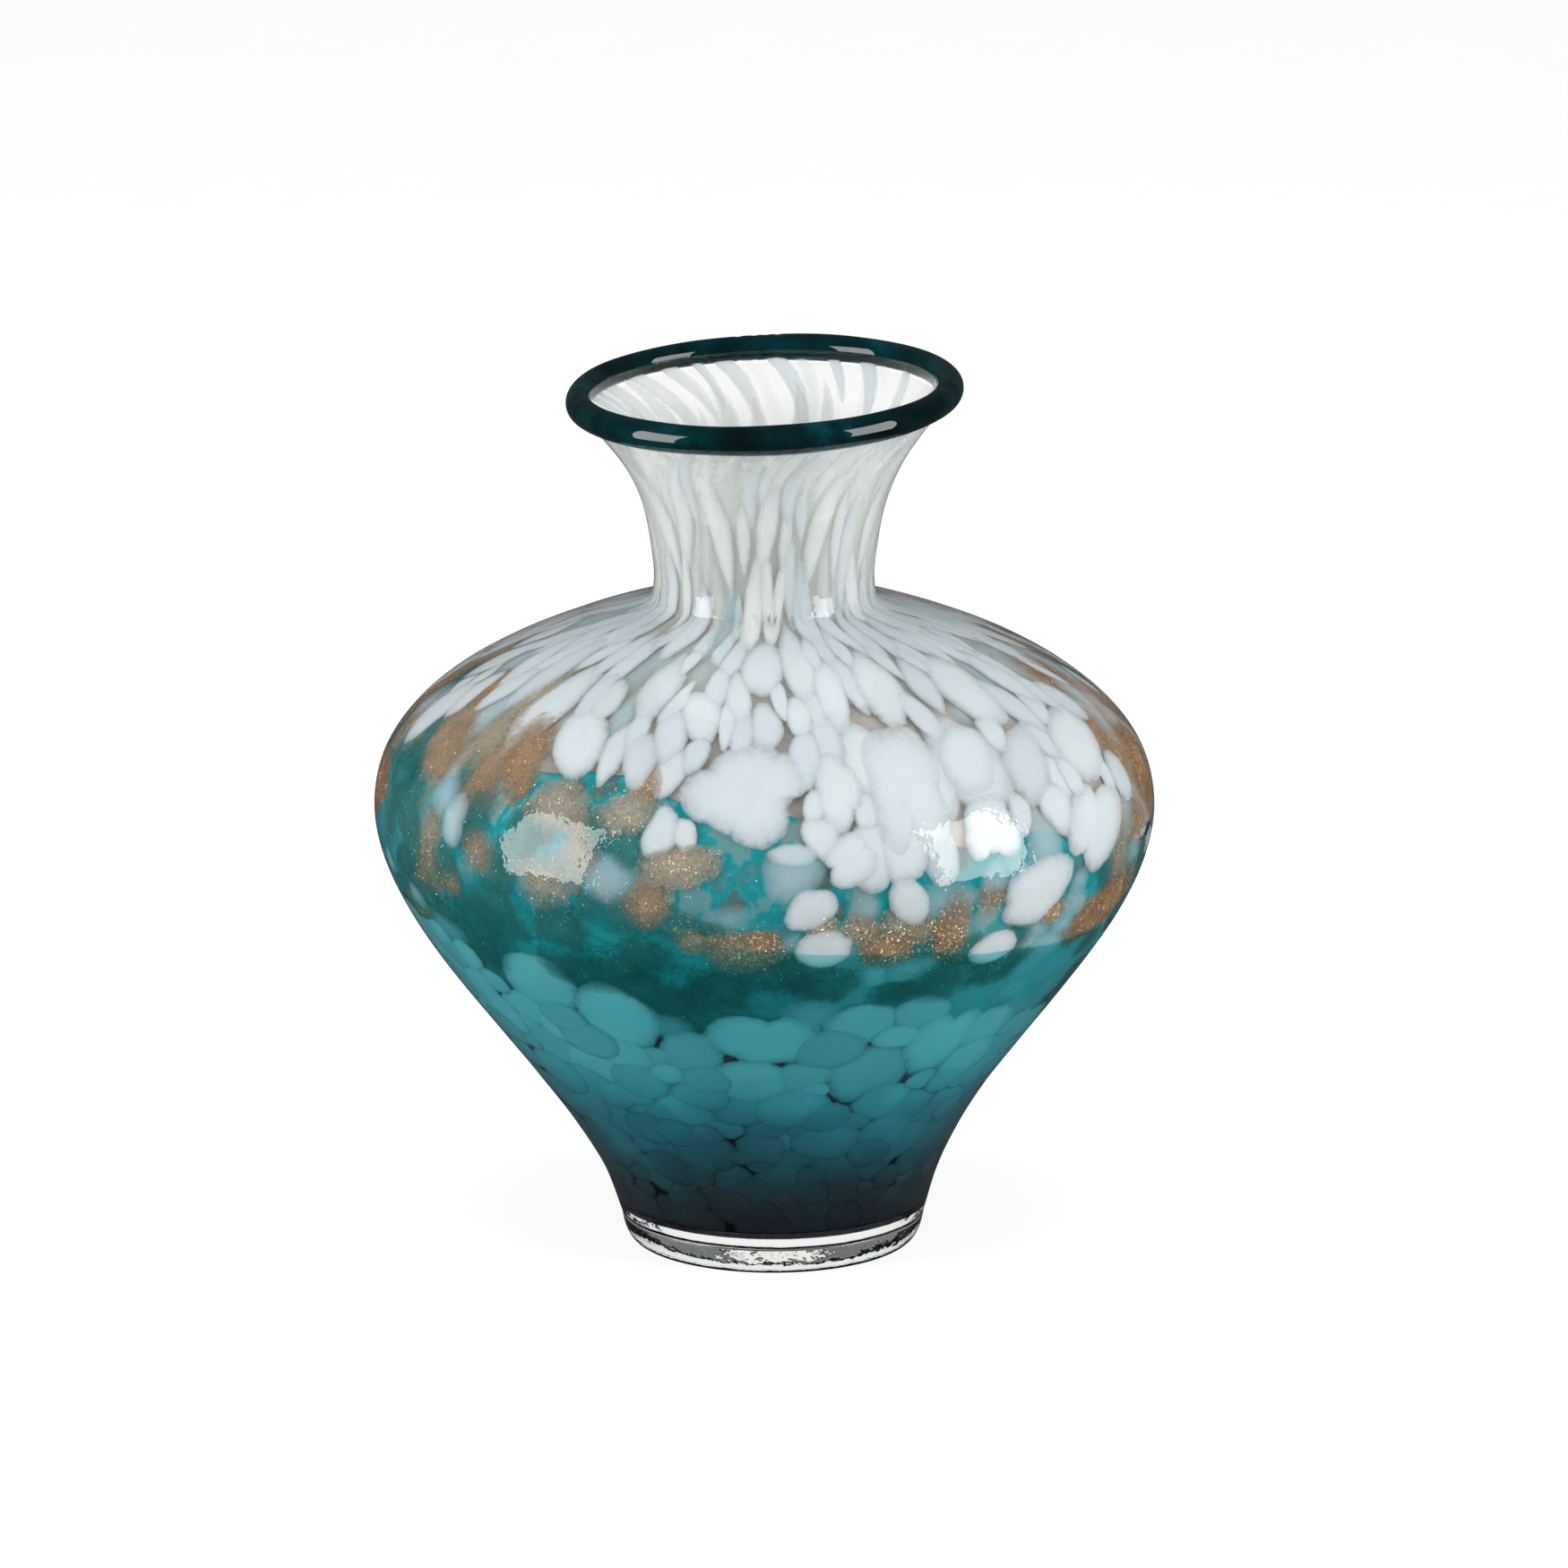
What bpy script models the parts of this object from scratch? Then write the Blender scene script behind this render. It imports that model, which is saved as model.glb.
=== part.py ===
"""Hand-blown art glass vase, built up the way the glass is gathered.

From the cavity outwards the wall is a clear inner bubble, a turquoise ground
over the belly and a dark cup below it, a layer of frit chips, a teal overlay
on the lower half and a clear outer casing.  A clear foot carries the body and
a dark teal thread is wrapped round the lip.  Lengths are in metres, +Z is up
and the origin is under the belly's centre at the height of the base.
"""
import math

import bmesh
import bpy
import numpy as np

# Outline of the outer wall, from the foot up.
FOOT_HEIGHT = 0.0082          # top of the clear foot
FOOT_RADIUS = 0.0437          # where the foot meets the body
FOOT_CONTACT_RADIUS = 0.0385  # outer edge of the flat base
BELLY_HEIGHT = 0.1305         # height of the widest line
BELLY_RADIUS = 0.1119
SHOULDER_RISE = 0.0583        # widest line to the start of the neck fillet
NECK_RADIUS = 0.0318          # narrowest part of the neck
NECK_FILLET_RUN = 0.0028
NECK_FILLET_RISE = 0.0035
NECK_LENGTH = 0.0554          # narrowest part to the wall's end
LIP_RADIUS = 0.0534           # wall's outer edge at its end

# Fullness of the outline: how far each curve follows its end's direction.
LOWER_RUN = 0.0091
LOWER_RISE = 0.0428
BELLY_BELOW = 0.0383
BELLY_ABOVE = 0.0329
SHOULDER_RUN = 0.0305
SHOULDER_DROP = 0.0094
FILLET_PULL = 0.0018
NECK_STRAIGHT = 0.0286
FLARE_RUN = 0.0145
FLARE_DROP = 0.0167

# Thickness of each gather, and the fused gap that separates the solids.
FUSE_GAP = 0.0003
CASING_WALL = 0.0018
OVERLAY_WALL = 0.0006
CHIP_THICKNESS = 0.0010
GROUND_WALL = 0.0008
BUBBLE_WALL = 0.0012
NECK_CASING_WALL = 0.0014
NECK_CHIP_THICKNESS = 0.0008
NECK_BUBBLE_WALL = 0.0012
LIP_CASING_WALL = 0.00115
LIP_BUBBLE_WALL = 0.00115
CASING_FLOOR = 0.0022
BUBBLE_FLOOR = 0.0022

# Extent of the coloured layers, measured from the widest line.
OVERLAY_BELOW_BELLY = 0.0175
DARK_CUP_BELOW_BELLY = 0.0425
GROUND_ABOVE_BELLY = 0.0195
CAVITY_CURVE_TOP = 0.0300     # the cavity rounds in to its floor below this

# Foot, pontil mark and lip thread.
PONTIL_RADIUS = 0.0145
PONTIL_DEPTH = 0.0015
LIP_THREAD_RADIUS = 0.0039
LIP_THREAD_GRIP = 0.0022      # how deep the wall's end sits in the thread

# Hand-made irregularity.
FOOT_OFFSET = 0.0025          # the foot was set on a little to one side
FOOT_OFFSET_TOP = 0.0600
LIP_TILT_SIDE = math.radians(2.2)
LIP_TILT_FRONT = math.radians(1.8)
LIP_TILT_START = 0.0227       # above the narrowest part of the neck

# Mesh fineness.
SECTORS = 32                  # a multiple of four, so that one edge faces the front
LOWER_STEPS = 9
SHOULDER_STEPS = 7
FILLET_STEPS = 3
NECK_STEPS = 5
THREAD_STEPS = 12
CHIP_SIDES = 12
CHIP_RINGS = 3               # a flat middle with one slope round it
SAME_POINT = 0.000001
FACET_SNAP = 0.00002
NEAR_EDGE = 0.0030            # an even station this close to a layer's edge is left out

# Heights that follow from the values above.
BODY_START = FOOT_HEIGHT + FUSE_GAP
SHOULDER_HEIGHT = BELLY_HEIGHT + SHOULDER_RISE
SHOULDER_RADIUS = NECK_RADIUS + NECK_FILLET_RUN
NECK_HEIGHT = SHOULDER_HEIGHT + NECK_FILLET_RISE
WALL_HEIGHT = NECK_HEIGHT + NECK_LENGTH
OVERLAY_TOP = BELLY_HEIGHT - OVERLAY_BELOW_BELLY
DARK_CUP_TOP = BELLY_HEIGHT - DARK_CUP_BELOW_BELLY
GROUND_TOP = BELLY_HEIGHT + GROUND_ABOVE_BELLY

# Chips stretch with the wall they lie in.  Their heights are listed for a wall
# whose foot joint, widest line, neck and end are at the first row of heights,
# and move with those four landmarks to the second.
LISTED_LANDMARKS = (8.5, 130.5, 192.3, 247.7)
REAL_LANDMARKS = (BODY_START, BELLY_HEIGHT, NECK_HEIGHT, WALL_HEIGHT)

# Opal white chips: left and right edge in degrees round from the front,
# lower and upper edge as a height in millimetres, lean in degrees.
WHITE_CHIPS = (
    (-13, 7.5, 146, 168.5, 0),
    (8.8, 16.3, 149, 167, 0),
    (17.6, 31, 141, 170, 0),
    (0.8, 8, 139.5, 145.6, 0),
    (9.2, 16.8, 133, 148, 2),
    (3.6, 10.6, 120.2, 132, 1),
    (5, 13, 108, 119.4, 0),
    (19, 24.6, 119.6, 134, -1),
    (32, 41.5, 137, 153, 0),
    (38.4, 51, 113.5, 133, 2),
    (33.6, 42.6, 103, 112.8, 0),
    (52, 66, 125, 149, 3),
    (33, 43, 155, 169, 2),
    (45, 54, 149, 166, 3),
    (59, 72, 150, 166, 3),
    (-18, -9.5, 169.5, 178, -2),
    (5, 10.5, 170.5, 177.5, 0),
    (13, 21, 171, 183.5, 1),
    (25, 36, 171.5, 184, 2),
    (-26, -19.4, 158.5, 170, -1),
    (-41, -32, 159.5, 173, -3),
    (-7, 6, 178.5, 186.5, 0),
    (45, 58, 168, 181, 2),
    (-56, -51, 134, 149, 0),
    (-10, 10, 74, 90, 0),
    (28, 44, 66, 86, 0),
    (98, 122, 140, 164, 0),
    (135, 152, 128, 152, 2),
    (172, 196, 138, 163, 0),
    (212, 232, 120, 143, -2),
    (244, 262, 150, 170, 0),
)

# Copper aventurine chips, in the same terms.
COPPER_CHIPS = (
    (-50, -42, 150, 170, -3),
    (-40.4, -28, 145, 158.6, 0),
    (-27, -17, 146, 157.4, 0),
    (-18.6, -7, 132, 145, 2),
    (-72, -60, 148, 166, -3),
    (-40, -28, 121, 138, 0),
    (-10, 3, 106, 119, 0),
    (14, 23.5, 106, 118.6, 0),
    (26, 32.6, 106, 128, 0),
    (56, 74, 101, 120, 4),
    (76, 92, 128, 156, 0),
    (150, 166, 154, 170, 0),
    (196, 210, 112, 134, 0),
    (264, 282, 128, 147, 0),
)

# White streaks drawn up the neck, in the same terms.
NECK_STREAKS = (
    (-66, -48, 201, 232, -6),
    (-30, -14, 199, 235, -4),
    (-6, 9, 203, 233, 3),
    (20, 36, 200, 236, 5),
    (56, 72, 202, 231, 4),
    (112, 130, 200, 234, 5),
    (176, 192, 203, 236, -4),
    (236, 254, 201, 232, 4),
)


def bezier(start, pull_start, pull_end, end, count):
    """Points of one cubic curve, its start included and its end left out."""
    corners = np.array((start, pull_start, pull_end, end))
    share = np.linspace(0.0, 1.0, count, endpoint=False)[:, None]
    rest = 1.0 - share
    return (rest ** 3 * corners[0] + 3 * rest ** 2 * share * corners[1]
            + 3 * rest * share ** 2 * corners[2] + share ** 3 * corners[3])


def smooth(value, low, high):
    """0 below low, 1 above high, with an even bend between them."""
    share = np.clip((np.asarray(value) - low) / (high - low), 0.0, 1.0)
    return share * share * (3.0 - 2.0 * share)


def outline(lower, shoulder, fillet, neck):
    """(radius, height) points up the outer wall, with the steps of each stretch."""
    foot = (FOOT_RADIUS, BODY_START)
    belly = (BELLY_RADIUS, BELLY_HEIGHT)
    shoulder_end = (SHOULDER_RADIUS, SHOULDER_HEIGHT)
    neck_start = (NECK_RADIUS, NECK_HEIGHT)
    lip = (LIP_RADIUS, WALL_HEIGHT)
    slope = math.hypot(SHOULDER_RUN, SHOULDER_DROP)
    fillet_pull = (SHOULDER_RADIUS - FILLET_PULL * SHOULDER_RUN / slope,
                   SHOULDER_HEIGHT + FILLET_PULL * SHOULDER_DROP / slope)
    return np.vstack((
        bezier(foot, (FOOT_RADIUS + LOWER_RUN, BODY_START + LOWER_RISE),
               (BELLY_RADIUS, BELLY_HEIGHT - BELLY_BELOW), belly, lower),
        bezier(belly, (BELLY_RADIUS, BELLY_HEIGHT + BELLY_ABOVE),
               (SHOULDER_RADIUS + SHOULDER_RUN, SHOULDER_HEIGHT - SHOULDER_DROP),
               shoulder_end, shoulder),
        bezier(shoulder_end, fillet_pull, (NECK_RADIUS, NECK_HEIGHT - FILLET_PULL),
               neck_start, fillet),
        bezier(neck_start, (NECK_RADIUS, NECK_HEIGHT + NECK_STRAIGHT),
               (LIP_RADIUS - FLARE_RUN, WALL_HEIGHT - FLARE_DROP), lip, neck),
        [lip],
    ))


class Wall:
    """The outer wall at its stations, with the depth of every layer under it."""

    def __init__(self):
        fine = outline(90, 60, 30, 60)
        steps = np.hypot(*np.diff(fine, axis=0).T)
        self.fine_along = np.concatenate(([0.0], np.cumsum(steps)))
        self.fine = fine
        coarse = outline(LOWER_STEPS, SHOULDER_STEPS, FILLET_STEPS, NECK_STEPS)
        edges = [DARK_CUP_TOP, DARK_CUP_TOP + FUSE_GAP, OVERLAY_TOP, GROUND_TOP]
        heights = [h for h in coarse[:, 1] if min(abs(h - edge) for edge in edges) > NEAR_EDGE]
        self.along = np.array(sorted(self.place(h) for h in heights + edges))
        self.radius = np.interp(self.along, self.fine_along, fine[:, 0])
        self.height = np.interp(self.along, self.fine_along, fine[:, 1])
        run = np.gradient(fine[:, 0], self.fine_along)
        rise = np.gradient(fine[:, 1], self.fine_along)
        self.out_r = np.interp(self.along, self.fine_along, rise)
        self.out_z = -np.interp(self.along, self.fine_along, run)
        self.set_depths()

    def place(self, height):
        """Distance up the wall, from the foot joint, of a height."""
        return float(np.interp(height, self.fine[:, 1], self.fine_along))

    def set_depths(self):
        """Depth under the outer face of each layer's faces, at every station."""
        neck = smooth(self.height, BELLY_HEIGHT + 0.6 * SHOULDER_RISE, NECK_HEIGHT)
        lip = smooth(self.height, WALL_HEIGHT - 0.3 * NECK_LENGTH, WALL_HEIGHT)
        above_overlay = self.height > OVERLAY_TOP + SAME_POINT
        above_ground = self.height > GROUND_TOP + SAME_POINT

        def blend(body, neck_value, lip_value):
            return (body * (1 - neck) + neck_value * neck) * (1 - lip) + lip_value * lip

        overlay_out = CASING_WALL + FUSE_GAP
        overlay_in = overlay_out + OVERLAY_WALL
        chip_out = overlay_in + FUSE_GAP
        chip_in = chip_out + CHIP_THICKNESS
        ground_out = chip_in + FUSE_GAP
        ground_in = ground_out + GROUND_WALL
        bubble_in = ground_in + FUSE_GAP + BUBBLE_WALL
        neck_chip_out = NECK_CASING_WALL + FUSE_GAP
        neck_chip_in = neck_chip_out + NECK_CHIP_THICKNESS
        neck_bubble_in = neck_chip_in + FUSE_GAP + NECK_BUBBLE_WALL
        lip_bubble_out = LIP_CASING_WALL + FUSE_GAP
        lip_bubble_in = lip_bubble_out + LIP_BUBBLE_WALL

        body_casing_in = np.where(above_overlay, overlay_in, CASING_WALL)
        body_bubble_out = np.where(above_ground, ground_out, ground_in + FUSE_GAP)
        zero = np.zeros_like(self.height)
        self.depth = {
            "surface": zero,
            "casing_in": blend(body_casing_in, NECK_CASING_WALL, LIP_CASING_WALL),
            "overlay_out": zero + overlay_out,
            "overlay_in": zero + overlay_in,
            "chip_out": blend(chip_out, neck_chip_out, lip_bubble_out),
            "chip_in": blend(chip_in, neck_chip_in, lip_bubble_out),
            "ground_out": zero + ground_out,
            "ground_in": zero + ground_in,
            "bubble_out": blend(body_bubble_out, neck_chip_in + FUSE_GAP, lip_bubble_out),
            "bubble_in": blend(bubble_in, neck_bubble_in, lip_bubble_in),
        }

    def face(self, layer):
        """(radius, height) of one layer's face at every station."""
        depth = self.depth[layer]
        return np.column_stack((self.radius - self.out_r * depth,
                                self.height - self.out_z * depth))

    def stretch(self, layer, low, high):
        """A layer's face between two heights of the outer wall, upwards."""
        first, last = self.place(low), self.place(high)
        keep = (self.along > first - SAME_POINT) & (self.along < last + SAME_POINT)
        return self.face(layer)[keep]

    def above_floor(self, layer, floor, high):
        """A layer's face from a flat floor up to a height of the outer wall."""
        points = self.stretch(layer, BODY_START, high)
        radius = np.interp(floor, points[:, 1], points[:, 0])
        above = points[points[:, 1] > floor + FUSE_GAP]
        return np.vstack(([(radius, floor)], above))

    def chip_point(self, turn, along, through):
        """A point in the chip layer; through is 1 on its outer face, -1 on its inner."""
        outer, inner = self.face("chip_out"), self.face("chip_in")
        share = 0.5 - 0.5 * through
        middle = outer * (1.0 - share) + inner * share
        radius = np.interp(along, self.along, middle[:, 0])
        height = np.interp(along, self.along, middle[:, 1])
        sector = math.tau / SECTORS
        from_middle = (turn % sector) - 0.5 * sector
        radius *= math.cos(0.5 * sector) / math.cos(from_middle)
        return radius * math.sin(turn), -radius * math.cos(turn), height


def hand_shape(point):
    """Moves a point of the true turned form to where the glassblower left it."""
    x, y, z = point
    x += FOOT_OFFSET * (1.0 - float(smooth(z, FOOT_HEIGHT, FOOT_OFFSET_TOP)))
    tilt = float(smooth(z, NECK_HEIGHT + LIP_TILT_START, WALL_HEIGHT))
    z += tilt * (x * math.tan(LIP_TILT_SIDE) + y * math.tan(LIP_TILT_FRONT))
    return x, y, z


def glass(name, colour, roughness=0.05, metallic=0.0, clear=0.0):
    """A glass colour as a Principled material."""
    material = bpy.data.materials.new(name)
    material.use_nodes = True
    shader = material.node_tree.nodes["Principled BSDF"]
    shader.inputs["Base Color"].default_value = (*colour, 1.0)
    shader.inputs["Roughness"].default_value = roughness
    shader.inputs["Metallic"].default_value = metallic
    shader.inputs["Transmission Weight"].default_value = clear
    material.diffuse_color = (*colour, 1.0)
    return material


def add_object(name, bm, material):
    """Puts a finished mesh into the scene as one smooth-shaded object."""
    for vert in bm.verts:
        vert.co = hand_shape(vert.co)
    mesh = bpy.data.meshes.new(name)
    bm.to_mesh(mesh)
    bm.free()
    mesh.shade_smooth()
    mesh.set_sharp_from_angle(angle=math.radians(35))
    mesh.materials.append(material)
    item = bpy.data.objects.new(name, mesh)
    bpy.context.scene.collection.objects.link(item)
    return item


def turned(name, profile, material, closed=False):
    """A solid of revolution; an open profile starts and ends on the axis."""
    bm = bmesh.new()
    verts = [bm.verts.new((r, 0.0, z)) for r, z in profile]
    edges = [bm.edges.new(pair) for pair in zip(verts, verts[1:])]
    if closed:
        edges.append(bm.edges.new((verts[-1], verts[0])))
    bmesh.ops.spin(bm, geom=verts + edges, cent=(0, 0, 0), axis=(0, 0, 1),
                   angle=math.tau, steps=SECTORS, use_merge=True)
    bmesh.ops.remove_doubles(bm, verts=bm.verts, dist=SAME_POINT)
    bmesh.ops.recalc_face_normals(bm, faces=bm.faces)
    return add_object(name, bm, material)


def make_foot(material):
    """Clear foot: flat base round a ground-out pontil mark, rounded lower edge."""
    top = FOOT_HEIGHT
    recess = [(PONTIL_RADIUS * math.sin(a), PONTIL_DEPTH * math.cos(a))
              for a in np.linspace(0.0, 0.5 * math.pi, 5)]
    edge = bezier((FOOT_CONTACT_RADIUS, 0.0),
                  (FOOT_CONTACT_RADIUS + 0.33 * (FOOT_RADIUS - FOOT_CONTACT_RADIUS), 0.04 * top),
                  (FOOT_CONTACT_RADIUS + 0.67 * (FOOT_RADIUS - FOOT_CONTACT_RADIUS), 0.49 * top),
                  (FOOT_RADIUS, top), 5)
    profile = recess + [tuple(p) for p in edge] + [(FOOT_RADIUS, top), (0.0, top)]
    turned("clear_foot", profile, material)


def make_shells(wall, clear, teal, turquoise, dark):
    """The gathers of the wall, each one a closed cup, sleeve or bottle."""
    casing_floor = BODY_START + CASING_FLOOR
    outer = wall.face("surface")
    inner = wall.above_floor("casing_in", casing_floor, WALL_HEIGHT)
    turned("outer_casing", [(0.0, BODY_START), *outer, *inner[::-1], (0.0, casing_floor)], clear)

    overlay_base = casing_floor + FUSE_GAP
    overlay_floor = overlay_base + OVERLAY_WALL
    outer = wall.above_floor("overlay_out", overlay_base, OVERLAY_TOP)
    inner = wall.above_floor("overlay_in", overlay_floor, OVERLAY_TOP)
    turned("teal_overlay",
           [(0.0, overlay_base), *outer, *inner[::-1], (0.0, overlay_floor)], teal)

    cup_base = overlay_floor + FUSE_GAP
    cup_floor = cup_base + GROUND_WALL
    outer = wall.above_floor("ground_out", cup_base, DARK_CUP_TOP)
    inner = wall.above_floor("ground_in", cup_floor, DARK_CUP_TOP)
    turned("dark_cup", [(0.0, cup_base), *outer, *inner[::-1], (0.0, cup_floor)], dark)

    outer = wall.stretch("ground_out", DARK_CUP_TOP + FUSE_GAP, GROUND_TOP)
    inner = wall.stretch("ground_in", DARK_CUP_TOP + FUSE_GAP, GROUND_TOP)
    turned("turquoise_ground", [*outer, *inner[::-1]], turquoise, closed=True)

    bubble_base = cup_floor + FUSE_GAP
    cavity_floor = bubble_base + BUBBLE_FLOOR
    outer = wall.above_floor("bubble_out", bubble_base, WALL_HEIGHT)
    inner = wall.above_floor("bubble_in", CAVITY_CURVE_TOP, WALL_HEIGHT)
    lean = inner[1] - inner[0]
    lean *= 0.5 * (CAVITY_CURVE_TOP - cavity_floor) / lean[1]
    rounding = bezier(inner[0], inner[0] - lean, (0.6 * inner[0][0], cavity_floor),
                      (0.0, cavity_floor), 6)
    turned("inner_bubble",
           [(0.0, bubble_base), *outer, *inner[::-1], *rounding[1:], (0.0, cavity_floor)],
           clear)


def make_lip_thread(wall, material):
    """Round thread wrapped over the wall's end, with a seat that the end fits."""
    end = np.array((LIP_RADIUS, WALL_HEIGHT))
    inward = np.array((-wall.out_r[-1], -wall.out_z[-1]))
    forward = np.array((inward[1], -inward[0]))
    wall_width = wall.depth["bubble_in"][-1]
    centre_forward = LIP_THREAD_RADIUS - LIP_THREAD_GRIP
    centre_inward = 0.5 * wall_width
    half_seat = 0.5 * wall_width + FUSE_GAP
    mouth = math.pi - math.asin(half_seat / LIP_THREAD_RADIUS)
    section = [(centre_forward + LIP_THREAD_RADIUS * math.cos(a),
                centre_inward + LIP_THREAD_RADIUS * math.sin(a))
               for a in np.linspace(-mouth, mouth, THREAD_STEPS)]
    section += [(FUSE_GAP, centre_inward + half_seat), (FUSE_GAP, centre_inward - half_seat)]
    profile = [end + forward * f + inward * i for f, i in section]
    turned("lip_wrap", profile, material, closed=True)


def cut_at_facets(bm, wall):
    """Splits a chip, while it is laid out flat, along the edges between the wall's facets."""
    turns = [vert.co.x for vert in bm.verts]
    places = [vert.co.y for vert in bm.verts]
    sector = math.tau / SECTORS
    sector_edges = range(math.ceil(min(turns) / sector), math.floor(max(turns) / sector) + 1)
    cuts = [((edge * sector, 0, 0), (1, 0, 0)) for edge in sector_edges]
    cuts += [((0, place, 0), (0, 1, 0)) for place in wall.along
             if min(places) < place < max(places)]
    for point, normal in cuts:
        bmesh.ops.bisect_plane(bm, geom=[*bm.verts, *bm.edges, *bm.faces],
                               dist=FACET_SNAP, plane_co=point, plane_no=normal)


def make_chip(wall, name, span, material):
    """One lens-shaped chip, flattened into the chip layer and bent to the wall."""
    left, right, low, high, lean = span
    bottom, top = (wall.place(np.interp(height, LISTED_LANDMARKS, REAL_LANDMARKS))
                   for height in (low, high))
    middle_turn = math.radians(0.5 * (left + right))
    half_turn = math.radians(0.5 * (right - left))
    full_width = 1.0 / math.cos(math.pi * (0.5 - 1.0 / CHIP_RINGS))
    bm = bmesh.new()
    bmesh.ops.create_uvsphere(bm, u_segments=CHIP_SIDES, v_segments=CHIP_RINGS, radius=1.0)
    for vert in bm.verts:
        across, up, through = vert.co
        across *= full_width
        up *= full_width
        turn = middle_turn + half_turn * across + math.radians(lean) * up
        along = 0.5 * (bottom + top) + 0.5 * (top - bottom) * up
        vert.co = (turn, along, through)
    cut_at_facets(bm, wall)
    for vert in bm.verts:
        vert.co = wall.chip_point(*vert.co)
    add_object(name, bm, material)


def main():
    """Clears the scene and builds every piece of the vase."""
    for item in list(bpy.data.objects):
        bpy.data.objects.remove(item, do_unlink=True)
    clear = glass("clear_glass", (0.93, 0.95, 0.94), clear=1.0)
    teal = glass("teal_glass", (0.02, 0.30, 0.33), clear=0.8)
    turquoise = glass("turquoise_glass", (0.05, 0.50, 0.55), roughness=0.2, clear=0.3)
    dark = glass("purple_glass", (0.05, 0.03, 0.05), roughness=0.1)
    white = glass("opal_white_glass", (0.82, 0.86, 0.88), roughness=0.25)
    copper = glass("copper_aventurine", (0.50, 0.32, 0.16), roughness=0.3, metallic=0.6)
    thread = glass("dark_teal_glass", (0.01, 0.10, 0.11), clear=0.5)

    wall = Wall()
    make_foot(clear)
    make_shells(wall, clear, teal, turquoise, dark)
    make_lip_thread(wall, thread)
    for group, spans, material in (("white_chip", WHITE_CHIPS, white),
                                   ("copper_chip", COPPER_CHIPS, copper),
                                   ("neck_streak", NECK_STREAKS, white)):
        for number, span in enumerate(spans, start=1):
            make_chip(wall, f"{group}_{number:02d}", span, material)


main()
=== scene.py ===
"""Looks of the hand-blown art glass vase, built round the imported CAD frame.

The wall's shape is read from the CAD casing.  The glass is made the way the
real one is: a polished outer face, a teal overlay, opal and copper frit, a
turquoise ground, a dark cup and a bubble with the cavity in it.  Faces that are
fused to the next layer are open to light, so the layers read as one wall.
"""
import math

import bmesh
import bpy
import numpy as np
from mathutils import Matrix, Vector


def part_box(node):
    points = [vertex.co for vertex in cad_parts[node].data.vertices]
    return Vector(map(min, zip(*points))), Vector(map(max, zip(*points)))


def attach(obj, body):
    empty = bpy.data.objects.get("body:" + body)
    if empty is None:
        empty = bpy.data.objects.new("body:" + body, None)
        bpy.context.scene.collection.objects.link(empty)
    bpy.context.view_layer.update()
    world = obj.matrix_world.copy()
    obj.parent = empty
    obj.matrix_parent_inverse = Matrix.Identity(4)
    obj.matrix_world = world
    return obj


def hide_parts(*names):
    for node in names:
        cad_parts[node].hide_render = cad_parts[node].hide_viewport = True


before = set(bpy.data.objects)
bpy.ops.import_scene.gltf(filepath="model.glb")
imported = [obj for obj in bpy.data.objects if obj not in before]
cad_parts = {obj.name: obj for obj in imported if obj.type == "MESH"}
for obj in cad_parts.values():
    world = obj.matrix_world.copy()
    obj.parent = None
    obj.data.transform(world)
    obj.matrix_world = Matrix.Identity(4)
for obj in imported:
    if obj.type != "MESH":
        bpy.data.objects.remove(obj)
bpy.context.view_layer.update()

MM = 0.001
ROOT = "root"

# Depths under the outer face, in metres, on the body and in the neck.
BURIED_DEPTH = 0.0009
OVERLAY_DEPTH = (0.0019, 0.0024)
CHIP_DEPTH_BODY = (0.0028, 0.0040)
CHIP_DEPTH_NECK = (0.0016, 0.0025)
GROUND_DEPTH = (0.0043, 0.0050)
CUP_DEPTH = (0.0044, 0.0052)
BUBBLE_DEPTH_BODY = (0.0055, 0.0066)
BUBBLE_DEPTH_NECK = (0.0029, 0.0040)
BUBBLE_DEPTH_LIP = (0.0015, 0.0026)
HAZE_DEPTH = (0.0052, 0.0026, 0.0013)

# The gather was twisted a little as the mouth was opened.
TWIST = math.radians(15)
TWIST_START = 0.226

CHIPS_START = 0.0128          # height of the lowest chips

# The chips' rims thin out to nothing, so they are drawn a little wider than in CAD.
CHIP_SPREAD = 1.12

# The foot and the lip thread.
CONTACT_RADIUS = 0.0385       # outer edge of the ring that the vase stands on
PONTIL_RADIUS = 0.0145
PONTIL_DEPTH = 0.0015
THREAD_RADIUS = 0.0040
THREAD_RISE = 0.0017          # centre of the thread above the wall's end

# Fineness of the meshes.
TURNS = 360
WALL_STEPS = 260
LARGE_CHIP_SIDES = 96
SEEN_CHIP_SIDES = 60

# Lamps: power in watts, size, distance and height in metres, angle from the front.
SOFTBOX_POWER = 19.0
SOFTBOX_SIZE = (0.76, 1.26)
SOFTBOX_DISTANCE = 1.4
SOFTBOX_HEIGHT = 0.46
SOFTBOX_AZIMUTH = math.radians(65)
FILL_POWER = 18.0
FILL_SIZE = 1.6
FILL_PLACE = (0.0, -0.6, 2.0)
LAMP_AIM = Vector((0, 0, 0.14))

# The camera stands at the photograph's viewing angle.
CAMERA_LENS = 280.0
CAMERA_DISTANCE = 3.5
CAMERA_ELEVATION = math.radians(14.5)
CAMERA_AIM = Vector((0.0057, 0.0, 0.1347))

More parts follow.
